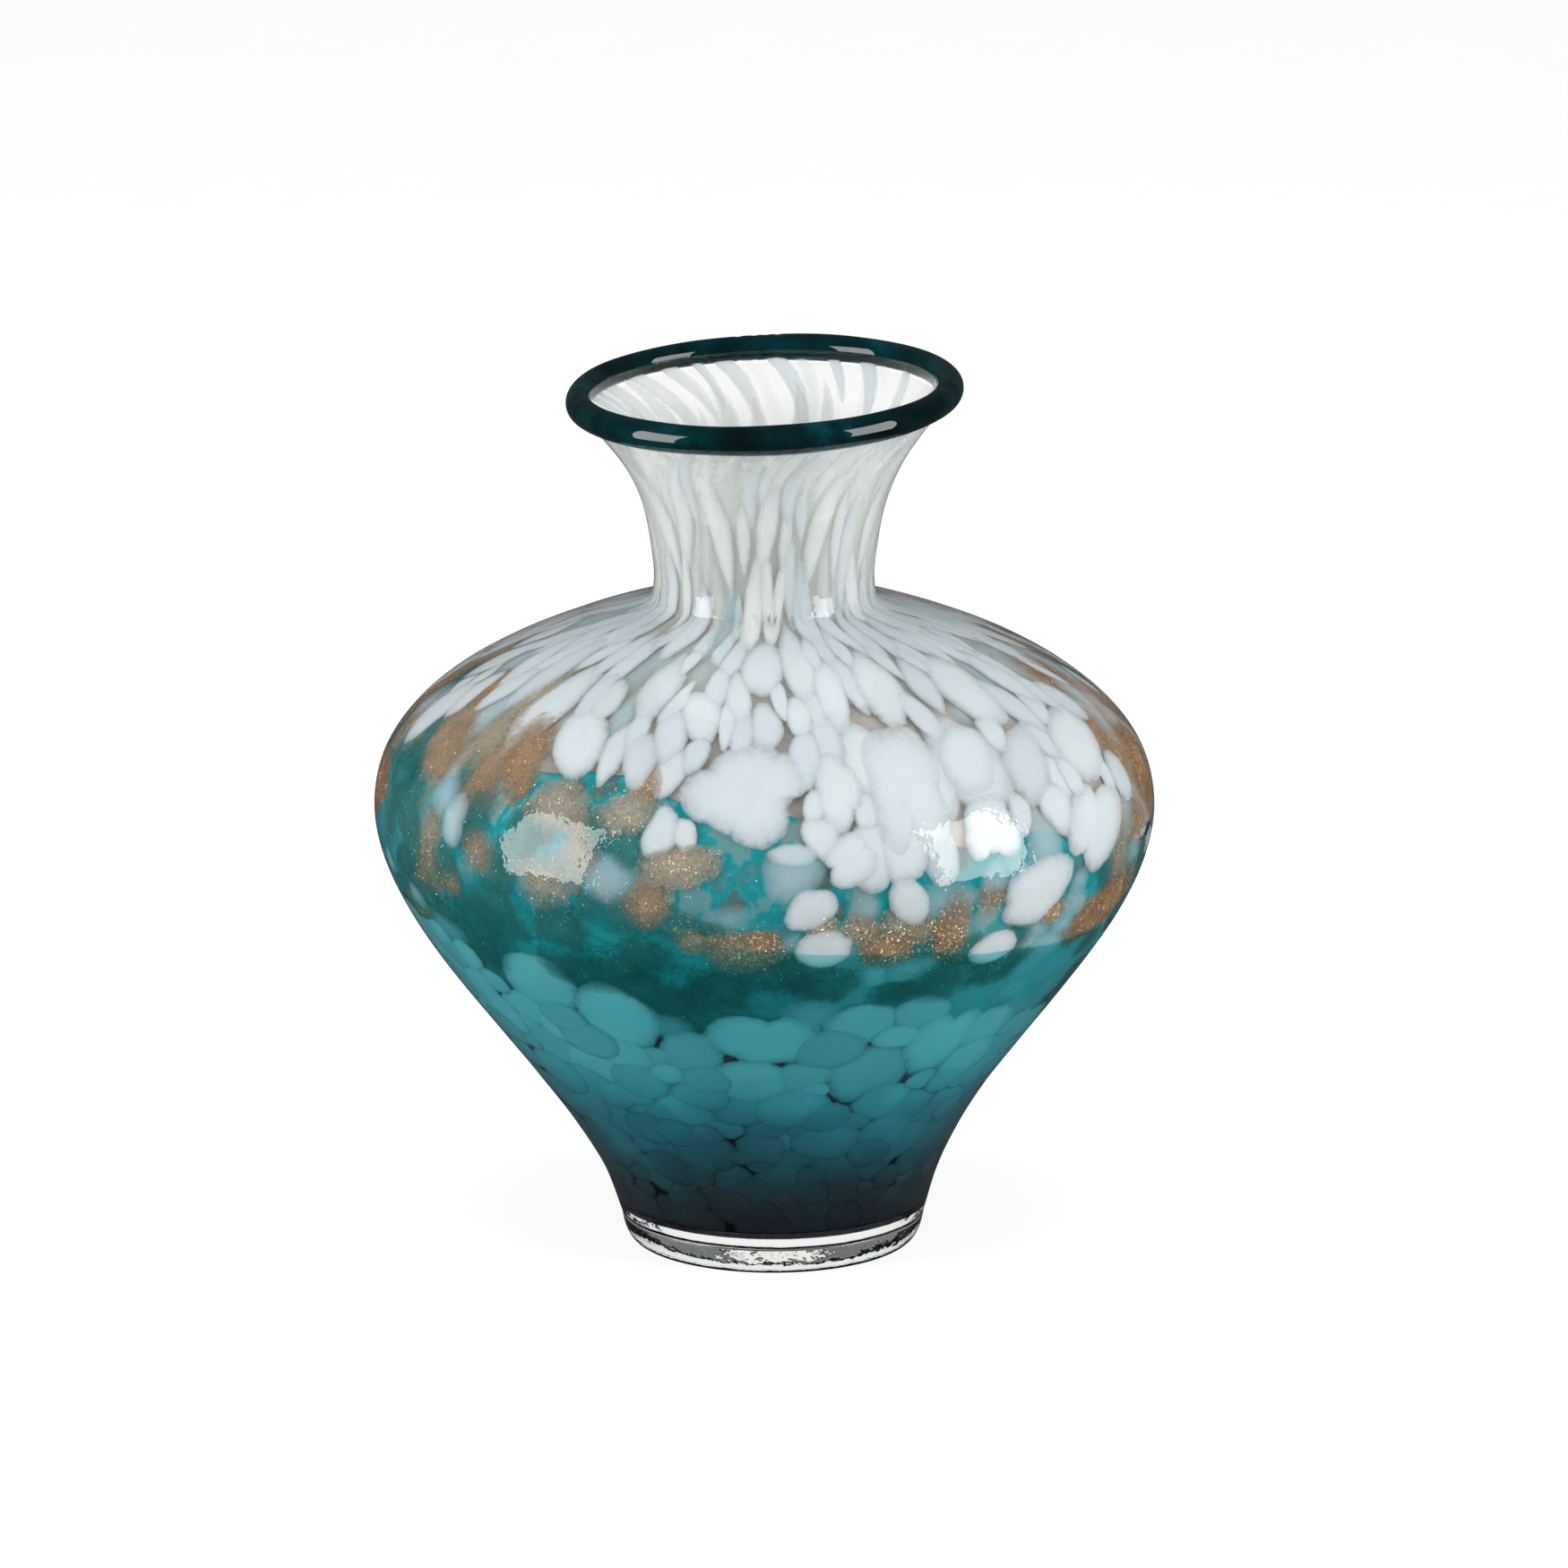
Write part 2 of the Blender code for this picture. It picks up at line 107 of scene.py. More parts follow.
# Colours, linear.
OPAL = (0.70, 0.755, 0.775)
OPAL_CLOUD = (0.62, 0.68, 0.70)
OPAL_NECK = (0.82, 0.835, 0.82)
TURQUOISE = (0.012, 0.30, 0.34)
TURQUOISE_PALE = (0.10, 0.42, 0.45)
TEAL_DEEP = (0.004, 0.21, 0.225)
TEAL_MIDDLE = (0.035, 0.38, 0.39)
COPPER = (0.36, 0.20, 0.10)
GOLD = (0.95, 0.74, 0.50)
BROWN = (0.20, 0.11, 0.05)
BEIGE = (0.33, 0.34, 0.28)
MOSS = (0.045, 0.20, 0.19)
MOSS_DARK = (0.016, 0.115, 0.115)


# ---------------------------------------------------------------- the wall

class Wall:
    """The outer face of the CAD casing as smooth curves of the distance up it."""

    def __init__(self, node):
        bm = bmesh.new()
        bm.from_mesh(node.data)
        bmesh.ops.remove_doubles(bm, verts=bm.verts, dist=0.00001)
        columns = [self.column(bm, Vector(side)) for side in
                   ((1, 0, 0), (-1, 0, 0), (0, -1, 0), (0, 1, 0))]
        bm.free()
        east, west, front, back = (np.array(c) for c in columns)
        radius = 0.5 * (east[:, 0] - west[:, 0])
        height = 0.5 * (east[:, 2] + west[:, 2])
        step = np.hypot(np.diff(radius), np.diff(height))
        place = np.concatenate(([0.0], np.cumsum(step)))
        self.length = place[-1]
        self.along = np.linspace(0.0, self.length, 700)
        self.radius = self.through(place, radius)
        self.height = self.through(place, height)
        run = np.gradient(self.radius, self.along)
        rise = np.gradient(self.height, self.along)
        size = np.hypot(run, rise)
        self.out_r, self.out_z = rise / size, -run / size
        self.heights = height
        self.shift = 0.5 * (east[:, 0] + west[:, 0])
        self.side_tilt = (east[:, 2] - west[:, 2]) / (east[:, 0] - west[:, 0])
        self.front_tilt = (back[:, 2] - front[:, 2]) / (back[:, 1] - front[:, 1])
        self.neck_along = self.along[np.argmin(np.where(self.height > 0.17, self.radius, 1))]
        self.neck_height = self.height_at(self.neck_along)
        self.belly_height = self.height_at(self.along[np.argmax(self.radius)])
        self.end_height = self.height[-1]

    @staticmethod
    def column(bm, side):
        """World points of one vertical line of vertices up the casing's outer face."""
        across = Vector((-side.y, side.x, 0))
        low = min(v.co.z for v in bm.verts)
        near = [v for v in bm.verts if v.co.z < low + 0.00001 and v.co.dot(side) > 0.03]
        vert = min(near, key=lambda v: abs((v.co - Vector((0.0025, 0, 0))).dot(across)))
        line, narrowing = [vert.co.copy()], False
        while True:
            options = [e.other_vert(vert) for e in vert.link_edges]
            options = [v for v in options if v.co.z > vert.co.z
                       and abs((v.co - vert.co).dot(across)) < 0.0012]
            if not options:
                return line
            vert = max(options, key=lambda v: v.co.z)
            grows = vert.co.dot(side) > line[-1].dot(side)
            narrowing = narrowing or (not grows and vert.co.z > 0.18)
            if narrowing and not grows and vert.co.z > 0.23:
                return line
            line.append(vert.co.copy())

    def through(self, place, values):
        """A smooth curve through the values, at every fine step up the wall."""
        slope = np.gradient(values, place)
        index = np.clip(np.searchsorted(place, self.along, side="right") - 1, 0, len(place) - 2)
        width = place[index + 1] - place[index]
        t = (self.along - place[index]) / width
        a, b = values[index], values[index + 1]
        ma, mb = slope[index] * width, slope[index + 1] * width
        return ((2 * t**3 - 3 * t**2 + 1) * a + (t**3 - 2 * t**2 + t) * ma
                + (3 * t**2 - 2 * t**3) * b + (t**3 - t**2) * mb)

    def place(self, height):
        """Distance up the wall of a height."""
        return np.interp(height, self.height, self.along)

    def height_at(self, along):
        return float(np.interp(along, self.along, self.height))

    def radius_at(self, along):
        return np.interp(along, self.along, self.radius)

    def bend(self, x, y, z):
        """Carries a point of the true turned form to the hand-made one."""
        shift = np.interp(z, self.heights, self.shift)
        side = np.interp(z, self.heights, self.side_tilt)
        front = np.interp(z, self.heights, self.front_tilt)
        x = x + shift
        return np.stack((x, y, z + x * side + y * front), axis=-1)

    def turned(self, radius, height, turn):
        """World points of a radius and height, turned from the front towards +X."""
        return self.bend(radius * np.sin(turn), -radius * np.cos(turn), height)

    def ripple(self, turn, along):
        """The slight waviness that tools and flame leave in the outer face."""
        a = along / self.length
        wave = (np.sin(3 * turn + 9 * a) + 0.7 * np.sin(5 * turn - 17 * a + 1.0)
                + 0.5 * np.sin(11 * turn + 23 * a + 2.0) + 0.35 * np.sin(17 * turn - 41 * a)
                + 0.6 * np.sin(33 * a + 2 * np.sin(2 * turn)))
        return 0.00007 * wave

    def point(self, turn, along, depth):
        """World points under the outer face."""
        out_r = np.interp(along, self.along, self.out_r)
        out_z = np.interp(along, self.along, self.out_z)
        radius = np.interp(along, self.along, self.radius) - out_r * depth
        height = np.interp(along, self.along, self.height) - out_z * depth
        return self.turned(radius, height, turn)

    def twist(self, along):
        """How far the chips near the mouth were carried round."""
        start = self.place(TWIST_START)
        return TWIST * np.clip((along - start) / (self.length - start), 0, 1) ** 1.8

    def neckness(self, along):
        """0 on the body, 1 in the neck."""
        start = self.place(self.belly_height + 0.6 * (self.neck_height - self.belly_height))
        share = np.clip((along - start) / (self.neck_along - start), 0, 1)
        return share * share * (3 - 2 * share)

    def lipness(self, along):
        start = self.place(self.end_height - 0.3 * (self.end_height - self.neck_height))
        share = np.clip((along - start) / (self.length - start), 0, 1)
        return share * share * (3 - 2 * share)

    def depth(self, body, neck, along, lip=None):
        """A layer's depth, blended from the body's value to the neck's and the lip's."""
        n = self.neckness(along)
        value = body * (1 - n) + neck * n
        if lip is None:
            return value
        e = self.lipness(along)
        return value * (1 - e) + lip * e


wall = Wall(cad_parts["outer_casing"])


# ---------------------------------------------------------------- mesh tools

def add_piece(name, verts, faces, materials, replaces=(), face_slots=None):
    mesh = bpy.data.meshes.new(name)
    mesh.from_pydata(verts.tolist(), [], faces)
    for material in materials:
        mesh.materials.append(material)
    if face_slots is not None:
        mesh.polygons.foreach_set("material_index", face_slots)
    mesh.shade_smooth()
    mesh.validate()
    piece = bpy.data.objects.new(name, mesh)
    bpy.context.scene.collection.objects.link(piece)
    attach(piece, ROOT)
    if replaces:
        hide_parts(*replaces)
    return piece


def lathe(rings, closed):
    """Faces of a grid of rings, each (TURNS, 3); a ring of one point closes an end."""
    verts, starts = [], []
    for ring in rings:
        starts.append((sum(len(v) for v in verts), len(ring)))
        verts.append(ring)
    pairs = list(zip(starts, starts[1:]))
    if closed:
        pairs.append((starts[-1], starts[0]))
    faces, owner = [], []
    for number, ((a, na), (b, nb)) in enumerate(pairs):
        for i in range(TURNS):
            j = (i + 1) % TURNS
            if na == 1:
                face = (a, b + j, b + i)
            elif nb == 1:
                face = (a + i, a + j, b)
            else:
                face = (a + i, a + j, b + j, b + i)
            faces.append(face)
            owner.append(number)
    return np.vstack(verts), faces, np.array(owner)


ring_turn = np.arange(TURNS) * math.tau / TURNS


def wall_rings(places, depth, rippled=False):
    """Rings under the outer face at places up the wall."""
    rings = []
    for along, d in zip(places, np.broadcast_to(depth, places.shape)):
        deep = d - wall.ripple(ring_turn, along) if rippled else np.full(TURNS, d)
        rings.append(wall.point(ring_turn, np.full(TURNS, along), deep))
    return rings


def flat_ring(radius, height):
    return wall.turned(np.full(TURNS, radius), np.full(TURNS, height), ring_turn)


def axis_point(height):
    return wall.turned(np.zeros(1), np.full(1, height), np.zeros(1))


# ---------------------------------------------------------------- materials

class Nodes:
    """Short hand for building one material's nodes."""

    def __init__(self, name):
        self.material = bpy.data.materials.new(name)
        self.material.use_nodes = True
        self.tree = self.material.node_tree
        self.tree.nodes.clear()
        self.output = self.tree.nodes.new("ShaderNodeOutputMaterial")

    def add(self, kind, links=None, **values):
        """A node with its properties or inputs set, and inputs linked."""
        node = self.tree.nodes.new(kind)
        for key, value in values.items():
            setattr(node, key, value)
        for socket, value in (links or {}).items():
            target = node.inputs[socket]
            if isinstance(value, bpy.types.NodeSocket):
                self.tree.links.new(value, target)
            elif isinstance(value, tuple) and len(value) == 3 and target.type == "RGBA":
                target.default_value = (*value, 1.0)
            else:
                target.default_value = value
        return node

    def finish(self, shader):
        self.tree.links.new(shader, self.output.inputs["Surface"])
        return self.material

    def position(self, scale=1.0):
        """Object coordinates, in metres times scale."""
        coords = self.add("ShaderNodeTexCoord").outputs["Object"]
        if scale == 1.0:
            return coords
        node = self.add("ShaderNodeVectorMath", {0: coords}, operation="SCALE")
        node.inputs["Scale"].default_value = scale
        return node.outputs[0]

    def height(self):
        parts = self.add("ShaderNodeSeparateXYZ", {0: self.position()})
        return parts.outputs["Z"]

    def noise(self, scale, detail=3.0, roughness=0.55, vector=None, distortion=0.0):
        node = self.add("ShaderNodeTexNoise", {
            "Vector": vector or self.position(), "Scale": scale, "Detail": detail,
            "Roughness": roughness, "Distortion": distortion})
        return node.outputs["Fac"]

    def voronoi(self, scale, output="Color", feature="F1", vector=None):
        node = self.add("ShaderNodeTexVoronoi", {"Vector": vector or self.position(),
                                                 "Scale": scale}, feature=feature)
        return node.outputs[output]

    def ramp(self, value, *stops, interpolation="LINEAR"):
        """Colours at positions 0 to 1 along a value."""
        node = self.add("ShaderNodeValToRGB", {0: value})
        ramp = node.color_ramp
        ramp.interpolation = interpolation
        while len(ramp.elements) < len(stops):
            ramp.elements.new(0.5)
        for element, (place, colour) in zip(ramp.elements, stops):
            element.position = place
            element.color = (*colour, 1.0) if isinstance(colour, tuple) else (colour,) * 3 + (1.0,)
        return node.outputs["Color"]

    def mix(self, share, a, b, blend="MIX"):
        node = self.add("ShaderNodeMix", data_type="RGBA", blend_type=blend)
        for socket, value in zip((node.inputs[0], node.inputs[6], node.inputs[7]), (share, a, b)):
            if isinstance(value, bpy.types.NodeSocket):
                self.tree.links.new(value, socket)
            else:
                socket.default_value = (*value, 1.0) if isinstance(value, tuple) else value
        return node.outputs[2]

    def maths(self, operation, a, b=0.0, clamp=False):
        node = self.add("ShaderNodeMath", {0: a, 1: b}, operation=operation, use_clamp=clamp)
        return node.outputs[0]

    def between(self, value, low, high):
        """0 at low, 1 at high, clamped."""
        node = self.add("ShaderNodeMapRange", {"Value": value, "From Min": low, "From Max": high})
        return node.outputs["Result"]

    def bump(self, height, strength, distance):
        node = self.add("ShaderNodeBump", {"Height": height, "Strength": strength,
                                           "Distance": distance})
        return node.outputs["Normal"]

    def attribute(self, name):
        return self.add("ShaderNodeAttribute", attribute_name=name).outputs["Fac"]

    def shaders(self, share, a, b):
        return self.add("ShaderNodeMixShader", {0: share, 1: a, 2: b}).outputs[0]

    def cloudy(self, share, colour):
        """Scatters light back, and by a share through to the other side."""
        soft = self.add("ShaderNodeBsdfDiffuse", {"Color": colour})
        glow = self.add("ShaderNodeBsdfTranslucent", {"Color": colour})
        return self.shaders(share, soft.outputs[0], glow.outputs[0])


def polished_glass(name, tint=(1.0, 1.0, 1.0)):
    """Clear glass that refracts what is seen and lets lamps through to the layers under it."""
    n = Nodes(name)
    waver = n.bump(n.noise(150.0, 3.0, 0.5), 0.5, 0.0006)
    glass = n.add("ShaderNodeBsdfPrincipled", {
        "Base Color": tint, "Roughness": 0.0, "IOR": 1.5, "Transmission Weight": 1.0,
        "Normal": waver})
    open_glass = n.add("ShaderNodeBsdfTransparent", {"Color": tint})
    path = n.add("ShaderNodeLightPath")
    through = n.maths("MAXIMUM", path.outputs["Is Shadow Ray"], path.outputs["Is Diffuse Ray"])
    return n.finish(n.shaders(through, glass.outputs[0], open_glass.outputs[0]))


def buried_glass(name):
    """A face fused to the next layer: no light bends or reflects there."""
    n = Nodes(name)
    return n.finish(n.add("ShaderNodeBsdfTransparent", {"Color": (1.0, 1.0, 1.0)}).outputs[0])


def overlay_glass():
    """Transparent teal that thickens from its upper edge to a near-black base."""
    n = Nodes("teal_overlay_glass")
    wander = n.maths("MULTIPLY", n.maths("SUBTRACT", n.noise(45.0, 4.0), 0.5), 0.022)
    level = n.maths("ADD", n.height(), wander)
    share = n.between(level, 0.0, 0.13)
    tint = n.ramp(share, (0.10, (0.39, 0.39, 0.42)), (0.17, (0.40, 0.45, 0.47)),
                  (0.25, (0.40, 0.55, 0.58)), (0.34, (0.42, 0.66, 0.70)),
                  (0.46, (0.49, 0.81, 0.84)), (0.57, (0.57, 0.87, 0.89)),
                  (0.70, (0.57, 0.87, 0.89)), (0.80, (0.62, 0.89, 0.90)),
                  (0.90, (0.86, 0.96, 0.965)), (1.0, (0.91, 0.97, 0.975)))
    return n.finish(n.add("ShaderNodeBsdfTransparent", {"Color": tint}).outputs[0])


def chip_shader(n, surface, sharpness, torn=0.22):
    """Lets a chip thin out to clear at its rim, and be thin all over if its cover is low."""
    rim = n.attribute("rim")
    cover = n.attribute("cover")
    tear = n.maths("SUBTRACT", n.noise(420.0, 4.0, 0.6), 0.5)
    ragged = n.maths("ADD", rim, n.maths("MULTIPLY", tear, torn), clamp=True)
    steep = n.maths("MULTIPLY", n.maths("POWER", cover, 2.0), sharpness - 1.0)
    body = n.maths("SUBTRACT", 1.0, n.maths("POWER", ragged, n.maths("ADD", steep, 1.0)))
    solid = n.maths("MULTIPLY", body, cover, clamp=True)
    clear = n.add("ShaderNodeBsdfTransparent").outputs[0]
    return n.finish(n.shaders(solid, clear, surface))


def opal_glass(name, white, cloud, sharpness, edge, shade=(0.60, 0.68, 0.74), thin=None):
    """Opal white: soft, see-through at the rim of each chip, faintly clouded."""
    n = Nodes(name)
    cloudy = n.between(n.noise(60.0, 5.0, 0.6, distortion=0.5), 0.40, 0.70)
    fine = n.between(n.noise(1100.0, 2.0, 0.5), 0.35, 0.7)
    colour = n.mix(n.maths("MULTIPLY", cloudy, cloud), white, OPAL_CLOUD)
    colour = n.mix(n.maths("MULTIPLY", fine, 0.12), colour, (0.86, 0.90, 0.92))
    tone = n.attribute("tone")
    colour = n.mix(n.maths("MULTIPLY", tone, 0.5), colour, shade)
    cover = n.attribute("cover")
    colour = n.mix(n.between(cover, 0.85, 0.40), colour, thin or white)
    rim = n.attribute("rim")
    colour = n.mix(n.maths("MULTIPLY", n.maths("POWER", rim, 5.0), edge), colour,
                   (0.30, 0.36, 0.38))
    return chip_shader(n, n.cloudy(0.28, colour), sharpness)


def aventurine_glass(name, base, dark, other, flakes_shown, sharpness):
    """Brown or mossy glass full of copper flakes that each catch the light their own way."""
    n = Nodes(name)
    patch = n.noise(75.0, 4.0, 0.6, distortion=0.6)
    tone = n.attribute("tone")
    body = n.mix(n.between(patch, 0.35, 0.62), dark, base)
    body = n.mix(tone, body, other)
    flakes = n.voronoi(2300.0)
    pick = n.add("ShaderNodeSeparateColor", {0: flakes})
    gather = n.maths("ADD", pick.outputs[0], n.maths("MULTIPLY", patch, 0.6))
    shown = n.between(gather, flakes_shown, flakes_shown + 0.06)
    lean = n.add("ShaderNodeVectorMath", {0: flakes, 1: (0.5, 0.5, 0.5)}, operation="SUBTRACT")
    normal = n.add("ShaderNodeNewGeometry").outputs["Normal"]
    tilted = n.add("ShaderNodeVectorMath", {0: lean.outputs[0], 1: (1.3, 1.3, 1.3), 2: normal},
                   operation="MULTIPLY_ADD")
    flake_normal = n.add("ShaderNodeVectorMath", {0: tilted.outputs[0]}, operation="NORMALIZE")
    soft = n.add("ShaderNodeBsdfDiffuse", {"Color": body})
    flake = n.add("ShaderNodeBsdfPrincipled", {
        "Base Color": GOLD, "Metallic": 1.0, "Roughness": 0.32,
        "Normal": flake_normal.outputs[0]})
    return chip_shader(n, n.shaders(shown, soft.outputs[0], flake.outputs[0]), sharpness, 1.1)


def turquoise_ground_glass():
    """Turquoise powder that broke up as it stretched: bright cracks between greyer islands."""
    n = Nodes("turquoise_powder_glass")
    drift = n.add("ShaderNodeTexNoise", {"Vector": n.position(), "Scale": 130.0, "Detail": 3.0})
    moved = n.add("ShaderNodeVectorMath", {0: drift.outputs["Color"], 1: (0.012, 0.012, 0.012),
                                           2: n.position()}, operation="MULTIPLY_ADD").outputs[0]
    island = n.voronoi(115.0, "Color", vector=moved)
    split = n.add("ShaderNodeSeparateColor", {0: island})
    crack = n.between(n.voronoi(115.0, "Distance", "DISTANCE_TO_EDGE", moved), 0.05, 0.16)
    fine = n.noise(420.0, 3.0, 0.6)
    tone = n.ramp(split.outputs[0], (0.0, TURQUOISE), (0.28, (0.06, 0.24, 0.26)),
                  (0.45, (0.16, 0.33, 0.34)), (0.62, (0.10, 0.16, 0.14)),
                  (0.78, (0.24, 0.34, 0.32)), (0.95, TURQUOISE_PALE), interpolation="CONSTANT")
    upper = n.mix(n.maths("MULTIPLY", crack, 0.85), TURQUOISE, tone)
    upper = n.mix(n.maths("MULTIPLY", n.between(fine, 0.50, 0.64), 0.35), upper, TURQUOISE_PALE)
    broad = n.noise(95.0, 5.0, 0.62, distortion=1.0)
    lower = n.ramp(broad, (0.34, TEAL_DEEP), (0.47, TEAL_MIDDLE), (0.57, TEAL_DEEP),
                   (0.68, (0.14, 0.48, 0.50)))
    lower = n.mix(n.maths("MULTIPLY", split.outputs[1], 0.6), lower, (0.010, 0.17, 0.175))
    wander = n.maths("MULTIPLY", n.maths("SUBTRACT", n.noise(40.0), 0.5), 0.02)
    side = n.add("ShaderNodeSeparateXYZ", {0: n.position()}).outputs["X"]
    pale = n.maths("MULTIPLY", n.between(side, -0.02, 0.04), 0.80)
    lower = n.mix(pale, lower, (0.21, 0.53, 0.55))
    wander = n.maths("ADD", wander, n.maths("MULTIPLY", side, 0.075))
    level = n.between(n.maths("ADD", n.height(), wander), 0.114, 0.126)
    colour = n.mix(level, lower, upper)
    return n.finish(n.cloudy(0.3, colour))


def dark_cup_glass():
    """Near-black purple behind the lower chips."""
    n = Nodes("purple_cup_glass")
    broad = n.noise(90.0, 4.0, 0.6)
    colour = n.ramp(broad, (0.35, (0.13, 0.05, 0.08)), (0.55, (0.28, 0.10, 0.14)),
                    (0.7, (0.40, 0.15, 0.20)))
    deep = n.between(n.height(), 0.055, 0.020)
    colour = n.mix(deep, colour, (0.03, 0.012, 0.02))
    return n.finish(n.add("ShaderNodeBsdfDiffuse", {"Color": colour}).outputs[0])


def haze_glass():
    """Thin grey-beige haze that the clear gaps of the shoulder and neck show."""
    n = Nodes("smoky_haze_glass")
    cloud = n.noise(80.0, 4.0, 0.6, distortion=0.6)
    beige = n.ramp(cloud, (0.35, (0.52, 0.47, 0.42)), (0.50, (0.66, 0.63, 0.58)),
                   (0.68, (0.74, 0.74, 0.72)))
    colour = n.mix(n.between(n.height(), 0.170, 0.195), beige, (0.80, 0.82, 0.79))
    cover = n.ramp(n.between(n.height(), 0.150, 0.240), (0.0, 0.9), (0.33, 0.75), (0.6, 0.50),
                   (0.88, 0.42), (1.0, 0.08))
    clear = n.add("ShaderNodeBsdfTransparent").outputs[0]
    return n.finish(n.shaders(cover, clear, n.cloudy(0.5, colour)))


def flake_metal():
    """Bright copper-gold, a little different from flake to flake."""
    n = Nodes("copper_flake_metal")
    colour = n.ramp(n.noise(500.0, 1.0), (0.35, (0.95, 0.62, 0.40)), (0.65, (1.0, 0.88, 0.68)))
    return n.finish(n.add("ShaderNodeBsdfPrincipled", {
        "Base Color": colour, "Metallic": 1.0, "Roughness": 0.30}).outputs[0])


def lip_glass():
    """Dark teal thread: near black by thickness, teal where light comes through it."""
    n = Nodes("dark_teal_thread_glass")
    streak = n.noise(28.0, 4.0, 0.6, distortion=1.2)
    colour = n.ramp(streak, (0.38, (0.0006, 0.008, 0.010)), (0.54, (0.001, 0.028, 0.033)),
                    (0.72, (0.002, 0.095, 0.105)))
    surface = n.add("ShaderNodeBsdfPrincipled", {
        "Base Color": colour, "Roughness": 0.03, "IOR": 1.5, "Transmission Weight": 0.55})
    return n.finish(surface.outputs[0])


FLAKE_METAL = flake_metal()
CLEAR = polished_glass("clear_casing_glass")
CLEAR_FOOT = polished_glass("clear_foot_glass", (0.89, 0.925, 0.87))
BURIED = buried_glass("fused_glass_face")
OPAL_GLASS = opal_glass("opal_white_glass", OPAL, 0.35, 6.0, 0.12, thin=(0.47, 0.66, 0.72))
LOWER_GLASS = opal_glass("opal_lower_glass", OPAL, 0.75, 9.0, 0.25, shade=(0.28, 0.36, 0.42))
STREAK_GLASS = opal_glass("opal_streak_glass", OPAL_NECK, 0.15, 4.0, 0.05)
COPPER_GLASS = aventurine_glass("copper_aventurine_glass", COPPER, BROWN, BEIGE, 1.12, 1.7)
MOSS_GLASS = aventurine_glass("moss_aventurine_glass", MOSS, MOSS_DARK, (0.03, 0.16, 0.15),
                              1.30, 1.8)


# ---------------------------------------------------------------- shells

def make_casing():
    """Clear outer gather: the vase's whole outer face, closed a little way inside."""
    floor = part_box("outer_casing")[0].z
    places = np.linspace(0.0, wall.length, WALL_STEPS)
    rings = [axis_point(floor), flat_ring(0.5 * wall.radius[0], floor)]
    rings += wall_rings(places, 0.0, rippled=True)
    polished = len(rings) - 1
    inner = places[places > 0.002][::-1]
    rings += wall_rings(inner, BURIED_DEPTH)
    rings.append(axis_point(floor + 0.0015))
    verts, faces, owner = lathe(rings, closed=False)
    slots = ((owner < 2) | (owner >= polished)).astype(int)
    add_piece("casing_glass", verts, faces, [CLEAR, BURIED],
              ["outer_casing"], slots.tolist())


def make_bubble():
    """Clear inner gather, with the rounded cavity in it."""
    start = 0.006
    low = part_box("inner_bubble")[0].z
    places = np.linspace(start, wall.length, WALL_STEPS)
    out_depth = wall.depth(BUBBLE_DEPTH_BODY[0], BUBBLE_DEPTH_NECK[0], places, BUBBLE_DEPTH_LIP[0])
    in_depth = wall.depth(BUBBLE_DEPTH_BODY[1], BUBBLE_DEPTH_NECK[1], places, BUBBLE_DEPTH_LIP[1])
    rings = [axis_point(low)] + wall_rings(places, out_depth)
    buried = len(rings) - 1
    keep = places > wall.place(0.030)
    rings += wall_rings(places[keep][::-1], in_depth[keep][::-1])
    last = rings[-1]
    edge = 0.5 * (last[:, 0].max() - last[:, 0].min())
    top = last[:, 2].mean()
    cavity_floor = low + 0.0022
    for share in np.linspace(0.06, 0.94, 14):
        angle = share * 0.5 * math.pi
        rings.append(flat_ring(edge * math.cos(angle) ** 0.8,
                               top - (top - cavity_floor) * math.sin(angle)))
    rings.append(axis_point(cavity_floor))
    verts, faces, owner = lathe(rings, closed=False)
    slots = (owner < buried).astype(int)
    add_piece("bubble_glass", verts, faces, [CLEAR, BURIED],
              ["inner_bubble"], slots.tolist())


def edge_by_turn(table, turn):
    """A height by turn, eased between the listed degrees."""
    degrees = (np.degrees(turn) + 180.0) % 360.0 - 180.0
    listed, heights = np.array(table, float).T
    listed = np.append(listed, listed[0] + 360.0)
    heights = np.append(heights, heights[0])
    index = np.clip(np.searchsorted(listed, degrees, side="right") - 1, 0, len(listed) - 2)
    t = (degrees - listed[index]) / (listed[index + 1] - listed[index])
    t = t * t * (3 - 2 * t)
    return (heights[index] * (1 - t) + heights[index + 1] * t) * MM


# Upper edges of the coloured layers: (degrees round from the front, height in mm).
OVERLAY_EDGE = ((-180, 118), (-120, 121), (-90, 125), (-60, 128), (-35, 127), (-18, 120),
                (0, 113.5), (10, 112), (25, 110), (38, 106.5), (55, 104), (75, 103),
                (100, 108), (140, 114))
GROUND_EDGE = ((-180, 150), (-120, 155), (-90, 148), (-65, 150), (-45, 158), (-25, 161),
               (-12, 157), (0, 153), (10, 150), (20, 145), (40, 142), (55, 135),
               (80, 126), (110, 143), (150, 155))

# Top of the pale lower chips round the vase: (degrees from the front, height in mm).
LOWER_CHIPS_TOP = ((-180, 90), (-90, 100), (-60, 103), (-40, 100), (-30, 97), (-20, 86),
                   (-10, 80), (0, 85), (20, 87), (28, 89), (38, 84), (50, 78), (80, 80),
                   (120, 88))


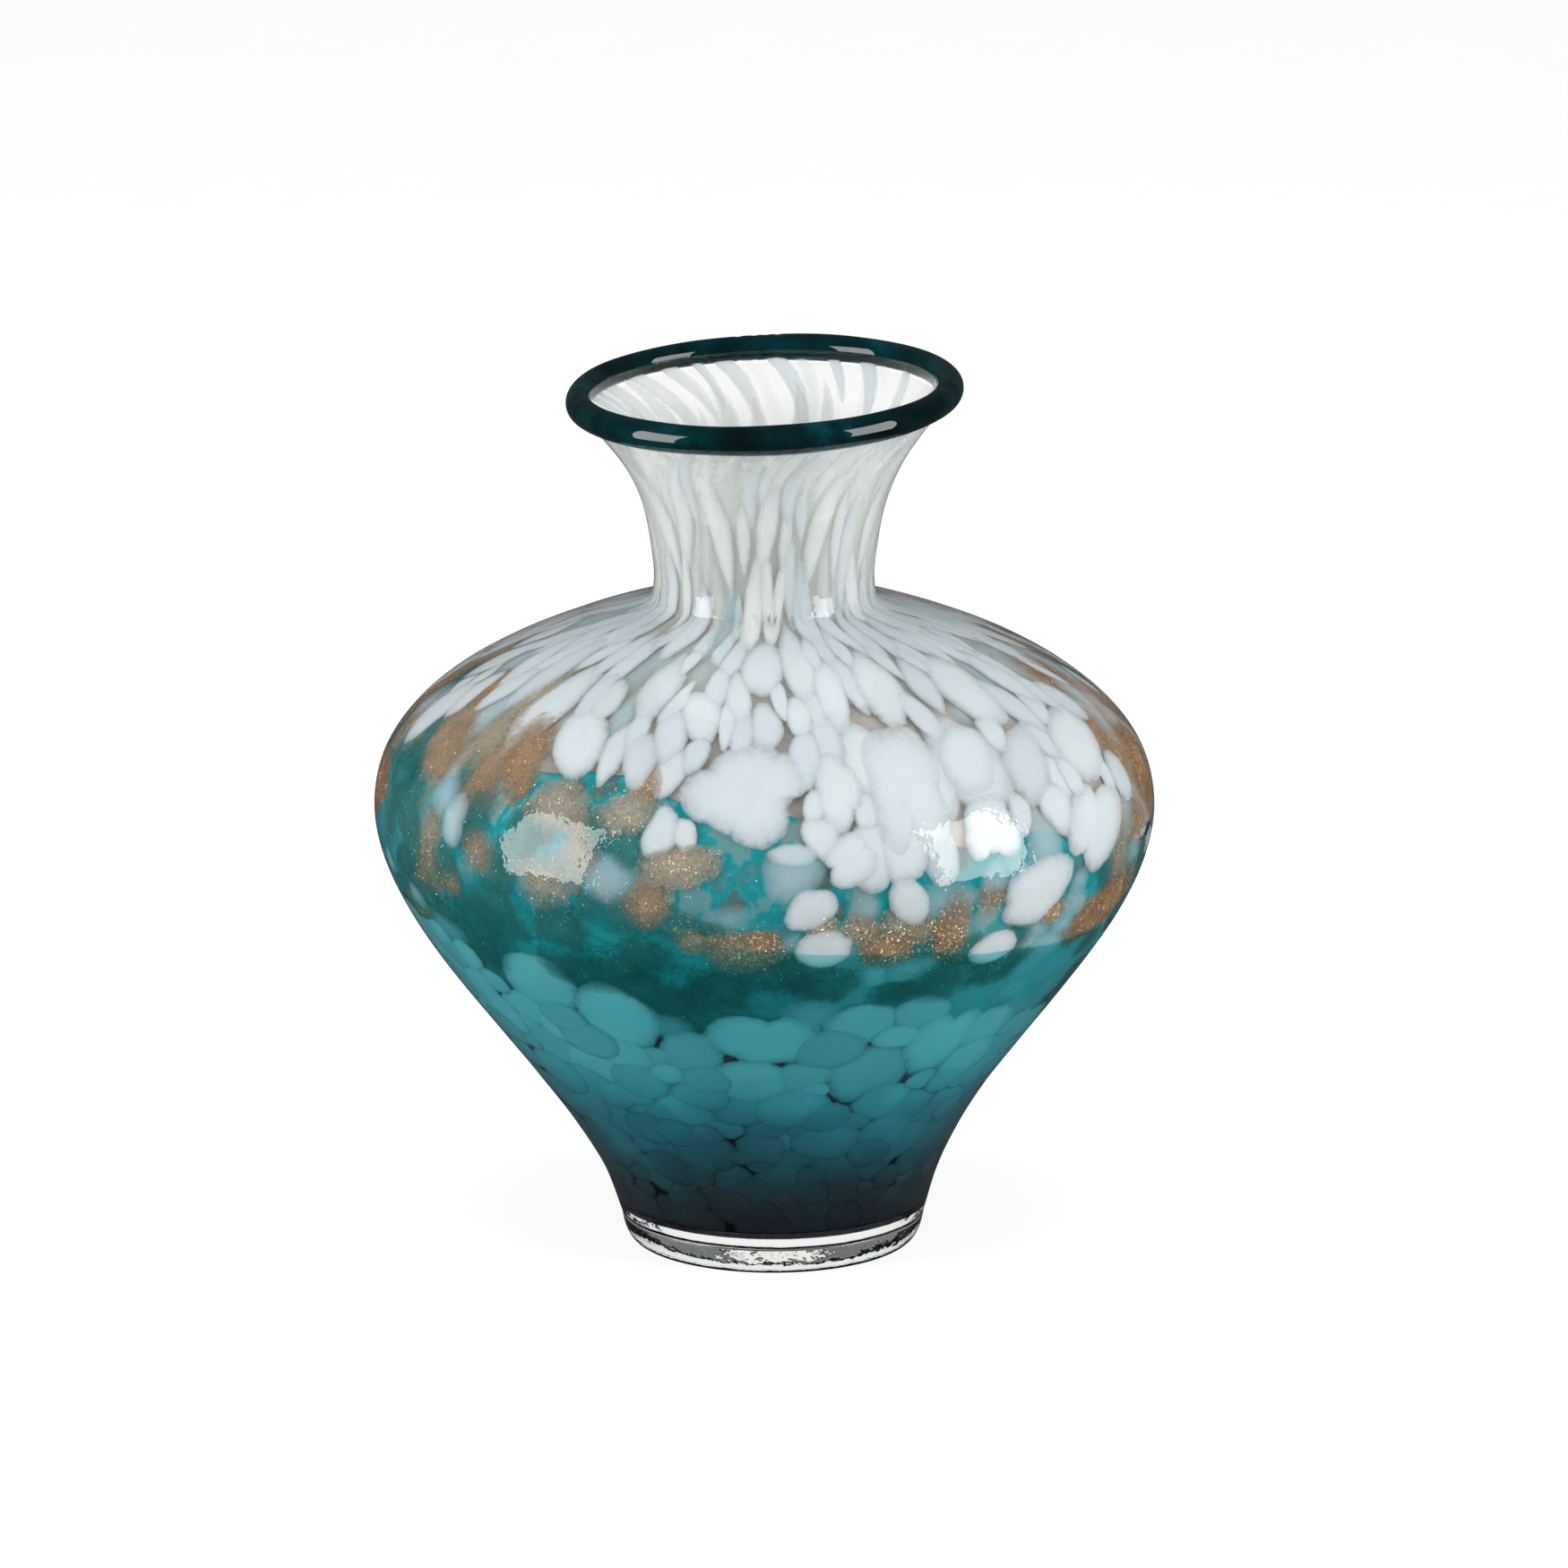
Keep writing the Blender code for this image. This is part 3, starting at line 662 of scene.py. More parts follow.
def sleeve(name, low, edge, depths, steps, material, node, floor=None, wobble=0.0):
    """A closed layer from a height, or a flat floor, up to an edge that varies with the turn."""
    top = wall.place(edge)
    bottom = wall.place(low)
    wave = (np.sin(9 * ring_turn) + 0.7 * np.sin(17 * ring_turn + 1) + 0.5 * np.sin(31 * ring_turn))
    top = top + wobble * wave
    outer, inner = [], []
    for share in np.linspace(0.0, 1.0, steps):
        along = bottom + (top - bottom) * share
        outer.append(wall.point(ring_turn, along, np.full(TURNS, depths[0])))
        inner.append(wall.point(ring_turn, along, np.full(TURNS, depths[1])))
    if floor is None:
        verts, faces, _ = lathe(outer + inner[::-1], closed=True)
    else:
        thick = depths[1] - depths[0]
        rings = [axis_point(floor)] + outer + inner[::-1] + [axis_point(floor + thick)]
        verts, faces, _ = lathe(rings, closed=False)
    return add_piece(name, verts, faces, [material], [node] if node else [])


def make_layers():
    """The teal overlay, the dark cup, the turquoise ground and the smoky haze."""
    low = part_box("teal_overlay")[0].z
    sleeve("overlay_glass", low, edge_by_turn(OVERLAY_EDGE, ring_turn), OVERLAY_DEPTH, 120,
           overlay_glass(), "teal_overlay", floor=low)
    low, high = (corner.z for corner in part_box("dark_cup"))
    seam = np.minimum(edge_by_turn(LOWER_CHIPS_TOP, ring_turn) - 0.004, high)
    sleeve("dark_cup_glass", low, seam, CUP_DEPTH, 60, dark_cup_glass(),
           "dark_cup", floor=low)
    sleeve("turquoise_powder", seam - 0.001, edge_by_turn(GROUND_EDGE, ring_turn),
           GROUND_DEPTH, 70, turquoise_ground_glass(), "turquoise_ground",
           wobble=0.0012)
    places = np.linspace(wall.place(0.128), wall.length - 0.004, 90)
    outer = wall.depth(*HAZE_DEPTH[:2], places, HAZE_DEPTH[2])
    rings = wall_rings(places, outer) + wall_rings(places, outer + 0.0001)[::-1]
    verts, faces, _ = lathe(rings, closed=True)
    add_piece("smoky_haze", verts, faces, [haze_glass()])


def make_foot():
    """Clear foot with a rounded lower edge and a polished pontil recess."""
    low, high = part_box("clear_foot")
    centre = 0.5 * (low.x + high.x)
    radius = high.x - centre
    top = high.z + 0.00025
    rings = [axis_point(PONTIL_DEPTH)]
    for angle in np.linspace(0.15, 1.0, 6) * 0.5 * math.pi:
        rings.append(flat_ring(PONTIL_RADIUS * math.sin(angle), PONTIL_DEPTH * math.cos(angle)))
    rings.append(flat_ring(CONTACT_RADIUS - 0.004, 0.0))
    rings.append(flat_ring(CONTACT_RADIUS, 0.0))
    start, end = np.array((CONTACT_RADIUS, 0.0)), np.array((radius, top))
    pull_a = np.array((CONTACT_RADIUS + 0.0030, 0.0001))
    pull_b = np.array((radius - 0.0006, 0.0040))
    for t in np.linspace(0.0, 1.0, 22)[1:]:
        r, z = ((1 - t)**3 * start + 3 * (1 - t)**2 * t * pull_a
                + 3 * (1 - t) * t**2 * pull_b + t**3 * end)
        rings.append(flat_ring(r, z))
    polished = len(rings) - 1
    rings.append(flat_ring(radius - 0.0004, top + 0.00001))
    rings.append(axis_point(top + 0.00001))
    verts, faces, owner = lathe(rings, closed=False)
    slots = (owner >= polished).astype(int)
    add_piece("foot_glass", verts, faces, [CLEAR_FOOT, BURIED],
              ["clear_foot"], slots.tolist())


def make_lip():
    """The thread wrapped over the rim, a little uneven in thickness round its length."""
    low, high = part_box("lip_wrap")
    outer = 0.5 * (high.x - low.x)
    centre = outer - THREAD_RADIUS - 0.0005
    height = wall.end_height + THREAD_RISE
    sides = 44
    rings = []
    thick = THREAD_RADIUS * (
        1 + 0.045 * np.sin(ring_turn + 1.0) + 0.03 * np.sin(2 * ring_turn + 2.0)
        + 0.018 * np.sin(5 * ring_turn) + 0.012 * np.sin(9 * ring_turn + 1.0))
    for seam in np.radians((176.0, 179.5, 183.0, 188.0)):
        thick = thick - 0.0002 * np.exp(-((ring_turn - seam) / 0.014) ** 2)
    for side in range(sides):
        angle = math.tau * side / sides
        rings.append(wall.turned(centre + thick * math.cos(angle) * 0.97,
                                 height + thick * math.sin(angle), ring_turn))
    verts, faces, _ = lathe(rings, closed=True)
    add_piece("lip_thread_glass", verts, faces, [lip_glass()], ["lip_wrap"])


# ---------------------------------------------------------------- chips

rng = np.random.default_rng(20417)
TOP_RINGS = ((0.30, 1.0), (0.58, 0.98), (0.78, 0.88), (0.90, 0.68), (0.97, 0.40), (1.0, 0.0))


class ChipMesh:
    """Collects lens-shaped chips of one colour into one mesh."""

    def __init__(self, body=CHIP_DEPTH_BODY, neck=CHIP_DEPTH_NECK):
        self.body, self.neck = body, neck
        self.turn, self.along, self.depth = [], [], []
        self.paint = {"rim": [], "tone": [], "cover": []}
        self.faces = []
        self.count = 0

    def add(self, turn, along, across, up, tone=0.0, cover=1.0, sink=0.0, thickness=1.0):
        """One chip: its centre, and its outline as offsets in metres across and up."""
        sides = len(across)
        share, level = [0.0], [1.0]
        for s, h in TOP_RINGS:
            share += [s] * sides
            level += [h] * sides
        for s, h in TOP_RINGS[-2::-1]:
            share += [s] * sides
            level += [-h] * sides
        share.append(0.0)
        level.append(-1.0)
        rings = 2 * len(TOP_RINGS) - 1
        pick = np.concatenate(([0], np.tile(np.arange(sides), rings), [0]))
        share, level = np.array(share), np.array(level)
        a = np.clip(along + share * up[pick], wall.place(CHIPS_START), wall.length)
        t = turn + share * across[pick] / (0.4 * wall.radius_at(along) + 0.6 * wall.radius_at(a))
        outer = wall.depth(self.body[0], self.neck[0], a)
        inner = wall.depth(self.body[1], self.neck[1], a)
        self.turn.append(t + wall.twist(a))
        self.along.append(a)
        self.depth.append(0.5 * (outer + inner) + sink - level * 0.5 * (inner - outer) * thickness)
        for key, value in (("rim", share), ("tone", tone), ("cover", cover)):
            self.paint[key].append(np.broadcast_to(value, share.shape))
        start, first = self.count, self.count + 1
        last = start + len(t) - 1
        for i in range(sides):
            j = (i + 1) % sides
            self.faces.append((start, first + i, first + j))
            for r in range(rings - 1):
                a0 = first + r * sides
                b0 = a0 + sides
                self.faces.append((a0 + i, b0 + i, b0 + j, a0 + j))
            end = first + (rings - 1) * sides
            self.faces.append((end + i, last, end + j))
        self.count += len(t)

    def build(self, name, material, slot, node=None):
        turn, along = np.concatenate(self.turn), np.concatenate(self.along)
        verts = wall.point(turn, along, np.concatenate(self.depth))
        piece = add_piece(name, verts, self.faces, [material], [node] if node else [])
        for key, values in self.paint.items():
            layer = piece.data.attributes.new(key, "FLOAT", "POINT")
            layer.data.foreach_set("value", np.concatenate(values).astype(np.float32))
        return piece


def lobed_outline(lobes, sides):
    """How far overlapping ovals (x, y, half width, half height) reach in each direction."""
    angle = np.arange(sides) * math.tau / sides
    reach = np.full(sides, 0.05)
    for x, y, half_x, half_y in lobes:
        dx, dy = np.cos(angle) / half_x, np.sin(angle) / half_y
        ox, oy = -x / half_x, -y / half_y
        a, b, c = dx * dx + dy * dy, ox * dx + oy * dy, ox * ox + oy * oy - 1
        inside = b * b - a * c
        reach = np.maximum(reach, np.where(inside > 0, (np.sqrt(np.abs(inside)) - b) / a, 0))
    return reach


def filled(offsets):
    """Stretches offsets to reach from -1 to 1."""
    low, high = offsets.min(), offsets.max()
    return (offsets - low) / (high - low) * 2 - 1


def uneven(size, rough):
    """Adds a hand-broken chip's unevenness to an outline."""
    angle = np.arange(len(size)) * math.tau / len(size)
    for k in range(2, 9):
        size = size * (1 + rough / k * rng.normal() * np.cos(k * angle + rng.uniform(0, math.tau)))
    return size


def lobed_chip(lobes, angle, half_across, half_up):
    """A lobed chip's outline, stretched to its half sizes."""
    size = uneven(lobed_outline(lobes, len(angle)), 0.05)
    return (CHIP_SPREAD * half_across * filled(size * np.cos(angle)),
            CHIP_SPREAD * half_up * filled(size * np.sin(angle)))


def random_lobes():
    """A main oval with one to three smaller ones melted into it."""
    lobes = [(rng.uniform(-0.1, 0.1), rng.uniform(-0.1, 0.1), 0.80, 0.86)]
    for _ in range(rng.integers(1, 4)):
        heading, out = rng.uniform(0, math.tau), rng.uniform(0.25, 0.42)
        size = rng.uniform(0.52, 0.68)
        lobes.append((out * math.cos(heading), out * math.sin(heading), size, size))
    return lobes


def read_cad_chip(node):
    """A CAD chip's centre, half sizes and lean in the wall's own directions."""
    co = np.array([v.co for v in node.data.vertices])
    shift = np.interp(co[:, 2], wall.heights, wall.shift)
    level = (co[:, 2] - co[:, 0] * np.interp(co[:, 2], wall.heights, wall.side_tilt)
             - co[:, 1] * np.interp(co[:, 2], wall.heights, wall.front_tilt))
    layer = wall.height - wall.out_z * wall.depth(0.0034, 0.0021, wall.along)
    along = np.interp(level, layer, wall.along)
    turn = np.arctan2(co[:, 0] - shift, -co[:, 1])
    turn = turn[0] + (turn - turn[0] + math.pi) % math.tau - math.pi
    low, high = along.argmin(), along.argmax()
    half_up = 0.5 * (along[high] - along[low])
    centre_turn, centre_along = 0.5 * (turn.min() + turn.max()), 0.5 * (along[low] + along[high])
    radius = wall.radius_at(centre_along)
    lean = (turn[high] - turn[low]) * radius / (2 * half_up)
    return centre_turn, centre_along, 0.5 * (turn.max() - turn.min()) * radius, half_up, lean


# Lobes of the chips whose shape can be made out, in half sizes of the CAD chip.
LOBES = {
    "white_chip_01": ((0.05, 0.15, 0.68, 0.82), (-0.62, -0.12, 0.42, 0.50),
                      (0.66, 0.32, 0.40, 0.46), (0.18, -0.52, 0.46, 0.50),
                      (-0.22, -0.38, 0.44, 0.40)),
    "white_chip_03": ((-0.05, 0.25, 0.80, 0.70), (-0.55, -0.25, 0.42, 0.62),
                      (0.30, -0.30, 0.52, 0.56), (0.50, 0.40, 0.50, 0.50)),
    "white_chip_05": ((-0.25, 0.35, 0.60, 0.62), (0.25, -0.25, 0.66, 0.70)),
    "white_chip_09": ((0.0, 0.1, 0.8, 0.85), (0.45, -0.35, 0.5, 0.6), (-0.5, -0.4, 0.4, 0.5)),
    "white_chip_12": ((-0.45, 0.25, 0.50, 0.72), (0.30, -0.10, 0.66, 0.86)),
    "white_chip_25": ((-0.35, 0.1, 0.62, 0.72), (0.42, -0.05, 0.56, 0.82), (0.0, -0.5, 0.5, 0.4)),
    "white_chip_26": ((-0.30, 0.20, 0.62, 0.70), (0.45, 0.25, 0.50, 0.62), (0.1, -0.4, 0.7, 0.5)),
}
# Tone and cover of the chips that are not plain opaque white or orange-brown copper.
CAD_CHIP_LOOKS = {
    "white_chip_01": (0.8, 1.0), "white_chip_04": (0.6, 0.75), "white_chip_06": (0.1, 0.95),
    "white_chip_08": (0.1, 0.9),
    "white_chip_14": (0.3, 0.85), "white_chip_20": (0.5, 0.85), "white_chip_24": (0.6, 0.6),
    "copper_chip_01": (0.15, 0.9), "copper_chip_02": (0.8, 0.75), "copper_chip_03": (0.9, 0.75),
    "copper_chip_04": (0.7, 0.9), "copper_chip_05": (0.3, 0.8), "copper_chip_06": (0.9, 0.6),
    "copper_chip_07": (0.4, 0.75), "copper_chip_08": (0.2, 0.85), "copper_chip_09": (0.2, 0.75),
    "copper_chip_10": (0.0, 0.95), "copper_chip_11": (0.0, 0.95)}


class Flakes:
    """Loose copper flakes, each a tiny tilted plate that glints."""

    def __init__(self):
        self.turn, self.along = [], []

    def around(self, turn, along, half_across, half_up, count):
        """Scatters flakes about a chip."""
        radius = wall.radius_at(along)
        self.turn.append(turn + 0.62 * half_across / radius * rng.normal(size=count))
        self.along.append(along + 0.62 * half_up * rng.normal(size=count))

    def build(self):
        turn, along = np.concatenate(self.turn), np.concatenate(self.along)
        depth = rng.uniform(0.00245, 0.0027, len(turn))
        centre = wall.point(turn, along, depth)
        right = wall.point(turn + 0.01, along, depth) - centre
        rise = wall.point(turn, along + 0.001, depth) - centre
        right /= np.linalg.norm(right, axis=1)[:, None]
        rise /= np.linalg.norm(rise, axis=1)[:, None]
        out = np.cross(right, rise)
        normal = out + 0.38 * rng.normal(size=out.shape)
        normal /= np.linalg.norm(normal, axis=1)[:, None]
        u = np.cross(normal, rise)
        u /= np.linalg.norm(u, axis=1)[:, None]
        v = np.cross(normal, u)
        size = rng.uniform(0.00008, 0.00021, len(turn))[:, None]
        corners = []
        for angle in np.arange(5) * math.tau / 5:
            stretch = rng.uniform(0.7, 1.2, len(turn))[:, None]
            corners.append(centre + size * stretch * (math.cos(angle) * u + math.sin(angle) * v))
        verts = np.stack(corners, 1).reshape(-1, 3)
        faces = [tuple(range(5 * i, 5 * i + 5)) for i in range(len(turn))]
        add_piece("copper_flakes", verts, faces, [FLAKE_METAL])


flakes = Flakes()
placed_chips = []


def make_cad_chips():
    """The largest chips, each standing for its CAD node."""
    angle = np.arange(LARGE_CHIP_SIDES) * math.tau / LARGE_CHIP_SIDES
    for name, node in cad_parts.items():
        if not name.startswith(("white_chip", "copper_chip", "neck_streak")):
            continue
        turn, along, half_across, half_up, lean = read_cad_chip(node)
        placed_chips.append((turn, along, half_across, half_up, lean))
        chip = ChipMesh()
        if name.startswith("neck"):
            size = uneven(np.ones(LARGE_CHIP_SIDES), 0.05)
            taper = 1 - 0.45 * np.sin(angle) ** 2
            across = 0.62 * half_across * taper * size * np.cos(angle)
            up = 1.12 * half_up * size * np.sin(angle)
        else:
            lobes = LOBES.get(name) or random_lobes()
            across, up = lobed_chip(lobes, angle, half_across, half_up)
        tone, cover = CAD_CHIP_LOOKS.get(name, (rng.uniform(0, 0.3), 1.0))
        chip.add(turn, along, across + lean * up, up, tone, cover)
        if name.startswith("copper"):
            flakes.around(turn, along, half_across, half_up, COPPER_FLAKES["large"])
            chip.build(name + "_glass", COPPER_GLASS, "copper_aventurine", name)
        else:
            material = STREAK_GLASS if name.startswith("neck") else OPAL_GLASS
            chip.build(name + "_glass", material, "opal_white", name)


# Further chips that can be made out: left and right edge in degrees, lower and upper
# height in mm, glass, cover and tone.
SEEN_CHIPS = (
    (0, 9, 129, 146, "belly", 0.50, 0.8), (-28, -19, 126, 141, "belly", 0.45, 0.6),
    (18, 25, 134, 153, "shoulder", 1.0, 0.1), (24.5, 30, 131, 147, "belly", 0.75, 0.3),
    (13, 20, 132, 152, "shoulder", 0.95, 0.2),
    (43, 50, 128, 147, "belly", 0.50, 0.7), (22, 33, 119, 132, "belly", 0.35, 0.9),
    (-9, -1, 119, 128, "belly", 0.25, 0.9),
    (31, 45, 151, 172, "shoulder", 0.95, 0.2), (14, 24, 157, 173, "shoulder", 1.0, 0.0),
    (23, 33, 150, 168, "shoulder", 1.0, 0.2), (-3, 4, 168.5, 177, "shoulder", 0.9, 0.3),
    (-31, -26, 159, 172, "shoulder", 0.9, 0.3), (-56, -45, 164, 181, "shoulder", 0.95, 0.2),
    (-13, -2, 91, 107, "moss", 0.85, 0.1), (3, 16, 95, 107, "moss", 0.85, 0.1),
    (-25, -15, 91, 105, "moss", 0.7, 0.3), (17, 28, 92, 101, "moss", 0.7, 0.3),
    (-56, -38, 106, 124, "moss", 0.6, 0.2), (-3, 3, 112, 120, "copper", 0.8, 0.1),
    (25, 32, 108, 118, "copper", 0.8, 0.0), (-80, -68, 138, 156, "moss", 0.95, 0.0),
    (-48, -33, 86, 104, "lower", 1.0, 0.4), (-34, -19, 76, 98, "lower", 1.0, 0.1),
    (11, 24, 79, 93, "lower", 1.0, 0.3), (23, 34, 82, 94, "lower", 1.0, 0.6),
    (-20, -8, 68, 84, "lower", 1.0, 0.7), (13, 31, 58, 78, "lower", 1.0, 0.5),
)

# How the small chips are sown: so many tries for large seeds, then for small ones to fill
# the gaps, each with its least and most size.  Small seeds stay out of one band of heights,
# where the photograph shows none between the chips.
SEED_TRIES = ((16000, 0.75, 1.35), (14000, 0.45, 0.80))
SMALL_SEED = 0.75
NO_SMALL_SEEDS = (0.126, 0.146)
SEEDS_START = 0.0135
SEEDS_END = 0.003             # clear length below the wall's end
CLOSEST_SEEDS = 0.41          # least distance, in spacings, for each unit of their sizes

# Outlines of the small chips by glass: sides, least and most gap to the next, and fill.
OUTLINES = {"lower": (36, -0.50, -0.14, 0.80), "frit": (24, -0.60, -0.25, 0.95),
            "opal": (28, -0.22, 0.0, 0.70)}
LOOSE_SHARE, LOOSE_FILL = 0.24, 0.50     # lower chips that leave dark gaps round them
COPPER_FLAKES = {"large": 170, "seen": 120, "copper": 42, "moss": 7}

# Heights, in mm, above which chips are drawn out, lie on the shoulder or lie in the neck.
DRAWN_OUT, SHOULDER, NECK = 168, 150, 190

# How closely the small chips are packed: height, spacing across and spacing up, in mm.
SPACING = ((13, 9, 8), (45, 12, 10), (70, 14, 12), (88, 14, 11), (104, 13, 10), (118, 9.5, 8),
           (135, 9, 10), (155, 9, 15), (172, 8.2, 20), (184, 6.0, 20), (196, 4.2, 24),
           (246, 5.0, 28))

# Small chips by place: lowest and highest mm, left and right degrees, then the shares
# of opaque white, thin white, copper and moss glass; what is left over stays clear.
REGIONS = (
    (232, 260, -180, 180, 0.35, 0.30, 0.0, 0.0),
    (196, 232, -180, 180, 0.66, 0.32, 0.0, 0.0),
    (173, 196, -180, 180, 0.88, 0.10, 0.0, 0.0),
    (160, 173, -88, -46, 0.34, 0.28, 0.27, 0.0),
    (160, 173, -46, 75, 0.88, 0.09, 0.0, 0.0),
    (160, 173, 75, 98, 0.60, 0.20, 0.15, 0.0),
    (126, 150, -95, -62, 0.0, 0.06, 0.06, 0.68),
    (145, 160, -88, -17, 0.03, 0.30, 0.50, 0.04),
    (145, 160, -17, 72, 0.90, 0.10, 0.0, 0.0),
    (126, 145, -88, -10, 0.0, 0.16, 0.36, 0.24),
    (126, 145, -10, 10, 0.0, 0.15, 0.04, 0.12),
    (136, 145, 10, 62, 0.12, 0.40, 0.0, 0.05),
    (126, 136, 10, 62, 0.0, 0.26, 0.06, 0.15),
    (126, 160, 72, 98, 0.10, 0.10, 0.70, 0.0),
    (126, 173, -180, 180, 0.52, 0.18, 0.16, 0.06),
    (108, 126, -95, -12, 0.0, 0.04, 0.07, 0.30),
    (112, 126, -12, 70, 0.0, 0.34, 0.16, 0.22),
    (112, 126, -180, 180, 0.05, 0.16, 0.18, 0.26),
    (0, 112, -5, 75, 0.0, 0.42, 0.0, 0.26),
    (0, 112, -180, 180, 0.0, 0.24, 0.0, 0.38),
)


def colour_of(turn, height):
    """Which glass a small chip is made of, by where it lies; None leaves a gap."""
    degrees = (math.degrees(turn) + 180) % 360 - 180
    draw = rng.uniform()
    if height * MM < edge_by_turn(LOWER_CHIPS_TOP, turn):
        return "lower"
    for low, high, left, right, white, thin, copper, moss in REGIONS:
        if low <= height < high and left <= degrees <= right:
            for colour, share in (("white", white), ("thin", thin), ("copper", copper),
                                  ("moss", moss)):
                if draw < share:
                    return colour
                draw -= share
            return None
    return None


def spacing_at(along):
    heights = np.interp(along, wall.along, wall.height) / MM
    table = np.array(SPACING)
    return (np.interp(heights, table[:, 0], table[:, 1]) * MM,
            np.interp(heights, table[:, 0], table[:, 2]) * MM)


class Packing:
    """Seeds of uneven size over the whole wall, fitted round the large chips."""

    def __init__(self):
        self.ovals = np.array(placed_chips)
        turns, alongs = [], []
        for turn, along, half_across, half_up, lean in self.ovals:
            angle = np.arange(28) * math.tau / 28
            up = 0.9 * half_up * np.sin(angle)
            across = 0.9 * half_across * np.cos(angle) + lean * up
            turns.append(turn + across / wall.radius_at(along))
            alongs.append(along + up)
        self.blocked = np.concatenate(turns), np.concatenate(alongs)
        self.seeds = np.zeros((0, 3))
        low, high = wall.place(SEEDS_START), wall.length - SEEDS_END
        area = np.cumsum(wall.radius * (wall.along > low) / np.prod(spacing_at(wall.along), 0))
        for tries, least, most in SEED_TRIES:
            for _ in range(tries):
                along = np.interp(rng.uniform(0, area[-1]), area, wall.along)
                along = min(max(along, low), high)
                turn = rng.uniform(-math.pi, math.pi)
                size = rng.uniform(least, most)
                if self.fits(turn, along, size):
                    self.seeds = np.vstack((self.seeds, (turn, along, size)))

    def fits(self, turn, along, size):
        """Whether a seed is clear of the placed chips and of the other seeds."""
        low, high = NO_SMALL_SEEDS
        if size < SMALL_SEED and low < wall.height_at(along) < high:
            return False
        if self.covered(turn, along) < 1.0 + 0.3 * size:
            return False
        apart = np.hypot(*self.offsets((self.seeds[:, 0], self.seeds[:, 1]), turn, along))
        return not len(apart) or np.min(apart / (size + self.seeds[:, 2])) >= CLOSEST_SEEDS

    def covered(self, turn, along):
        """How near a place is to a placed chip's middle, in that chip's half sizes."""
        up = along - self.ovals[:, 1]
        span = (turn - self.ovals[:, 0] + math.pi) % math.tau - math.pi
        across = span * wall.radius_at(along) - self.ovals[:, 4] * up
        return np.min(np.hypot(across / self.ovals[:, 2], up / self.ovals[:, 3]))

    @staticmethod
    def offsets(points, turn, along):
        """Offsets of points from a place, in local spacings."""
        across, up = spacing_at(along)
        span = (points[0] - turn + math.pi) % math.tau - math.pi
        return span * wall.radius_at(along) / across, (points[1] - along) / up

    def outline(self, index, kind, fill=None):
        """A seed's outline, kept to its own side of the lines to its neighbours."""
        sides, least, most, usual_fill = OUTLINES[kind]
        gap = rng.uniform(least, most)
        turn, along, size = self.seeds[index]
        du, dv = self.offsets((self.seeds[:, 0], self.seeds[:, 1]), turn, along)
        near = (np.hypot(du, dv) < 2.4) & (np.arange(len(du)) != index)
        ours = size / (size + self.seeds[near, 2])
        bu, bv = self.offsets(self.blocked, turn, along)
        hits = np.hypot(bu, bv) < 1.6
        places = np.column_stack((np.append(du[near] * ours, bu[hits]),
                                  np.append(dv[near] * ours, bv[hits])))
        angle = np.arange(sides) * math.tau / sides
        fill = fill or usual_fill
        reach = np.full(sides, (0.35 + 0.65 * size) * fill * rng.uniform(0.9, 1.1))
        for distance, heading in zip(np.hypot(*places.T), np.arctan2(places[:, 1], places[:, 0])):
            facing = np.cos(angle - heading)
            limit = np.where(facing > 0.05, (distance - gap) / np.maximum(facing, 0.05), 9.0)
            reach = np.minimum(reach, np.maximum(limit, 0.10))
        for _ in range(2):
            reach = 0.5 * reach + 0.25 * (np.roll(reach, 1) + np.roll(reach, -1))
        reach = uneven(reach, 0.05)
        across, up = spacing_at(along)
        return reach * np.cos(angle) * across, reach * np.sin(angle) * up


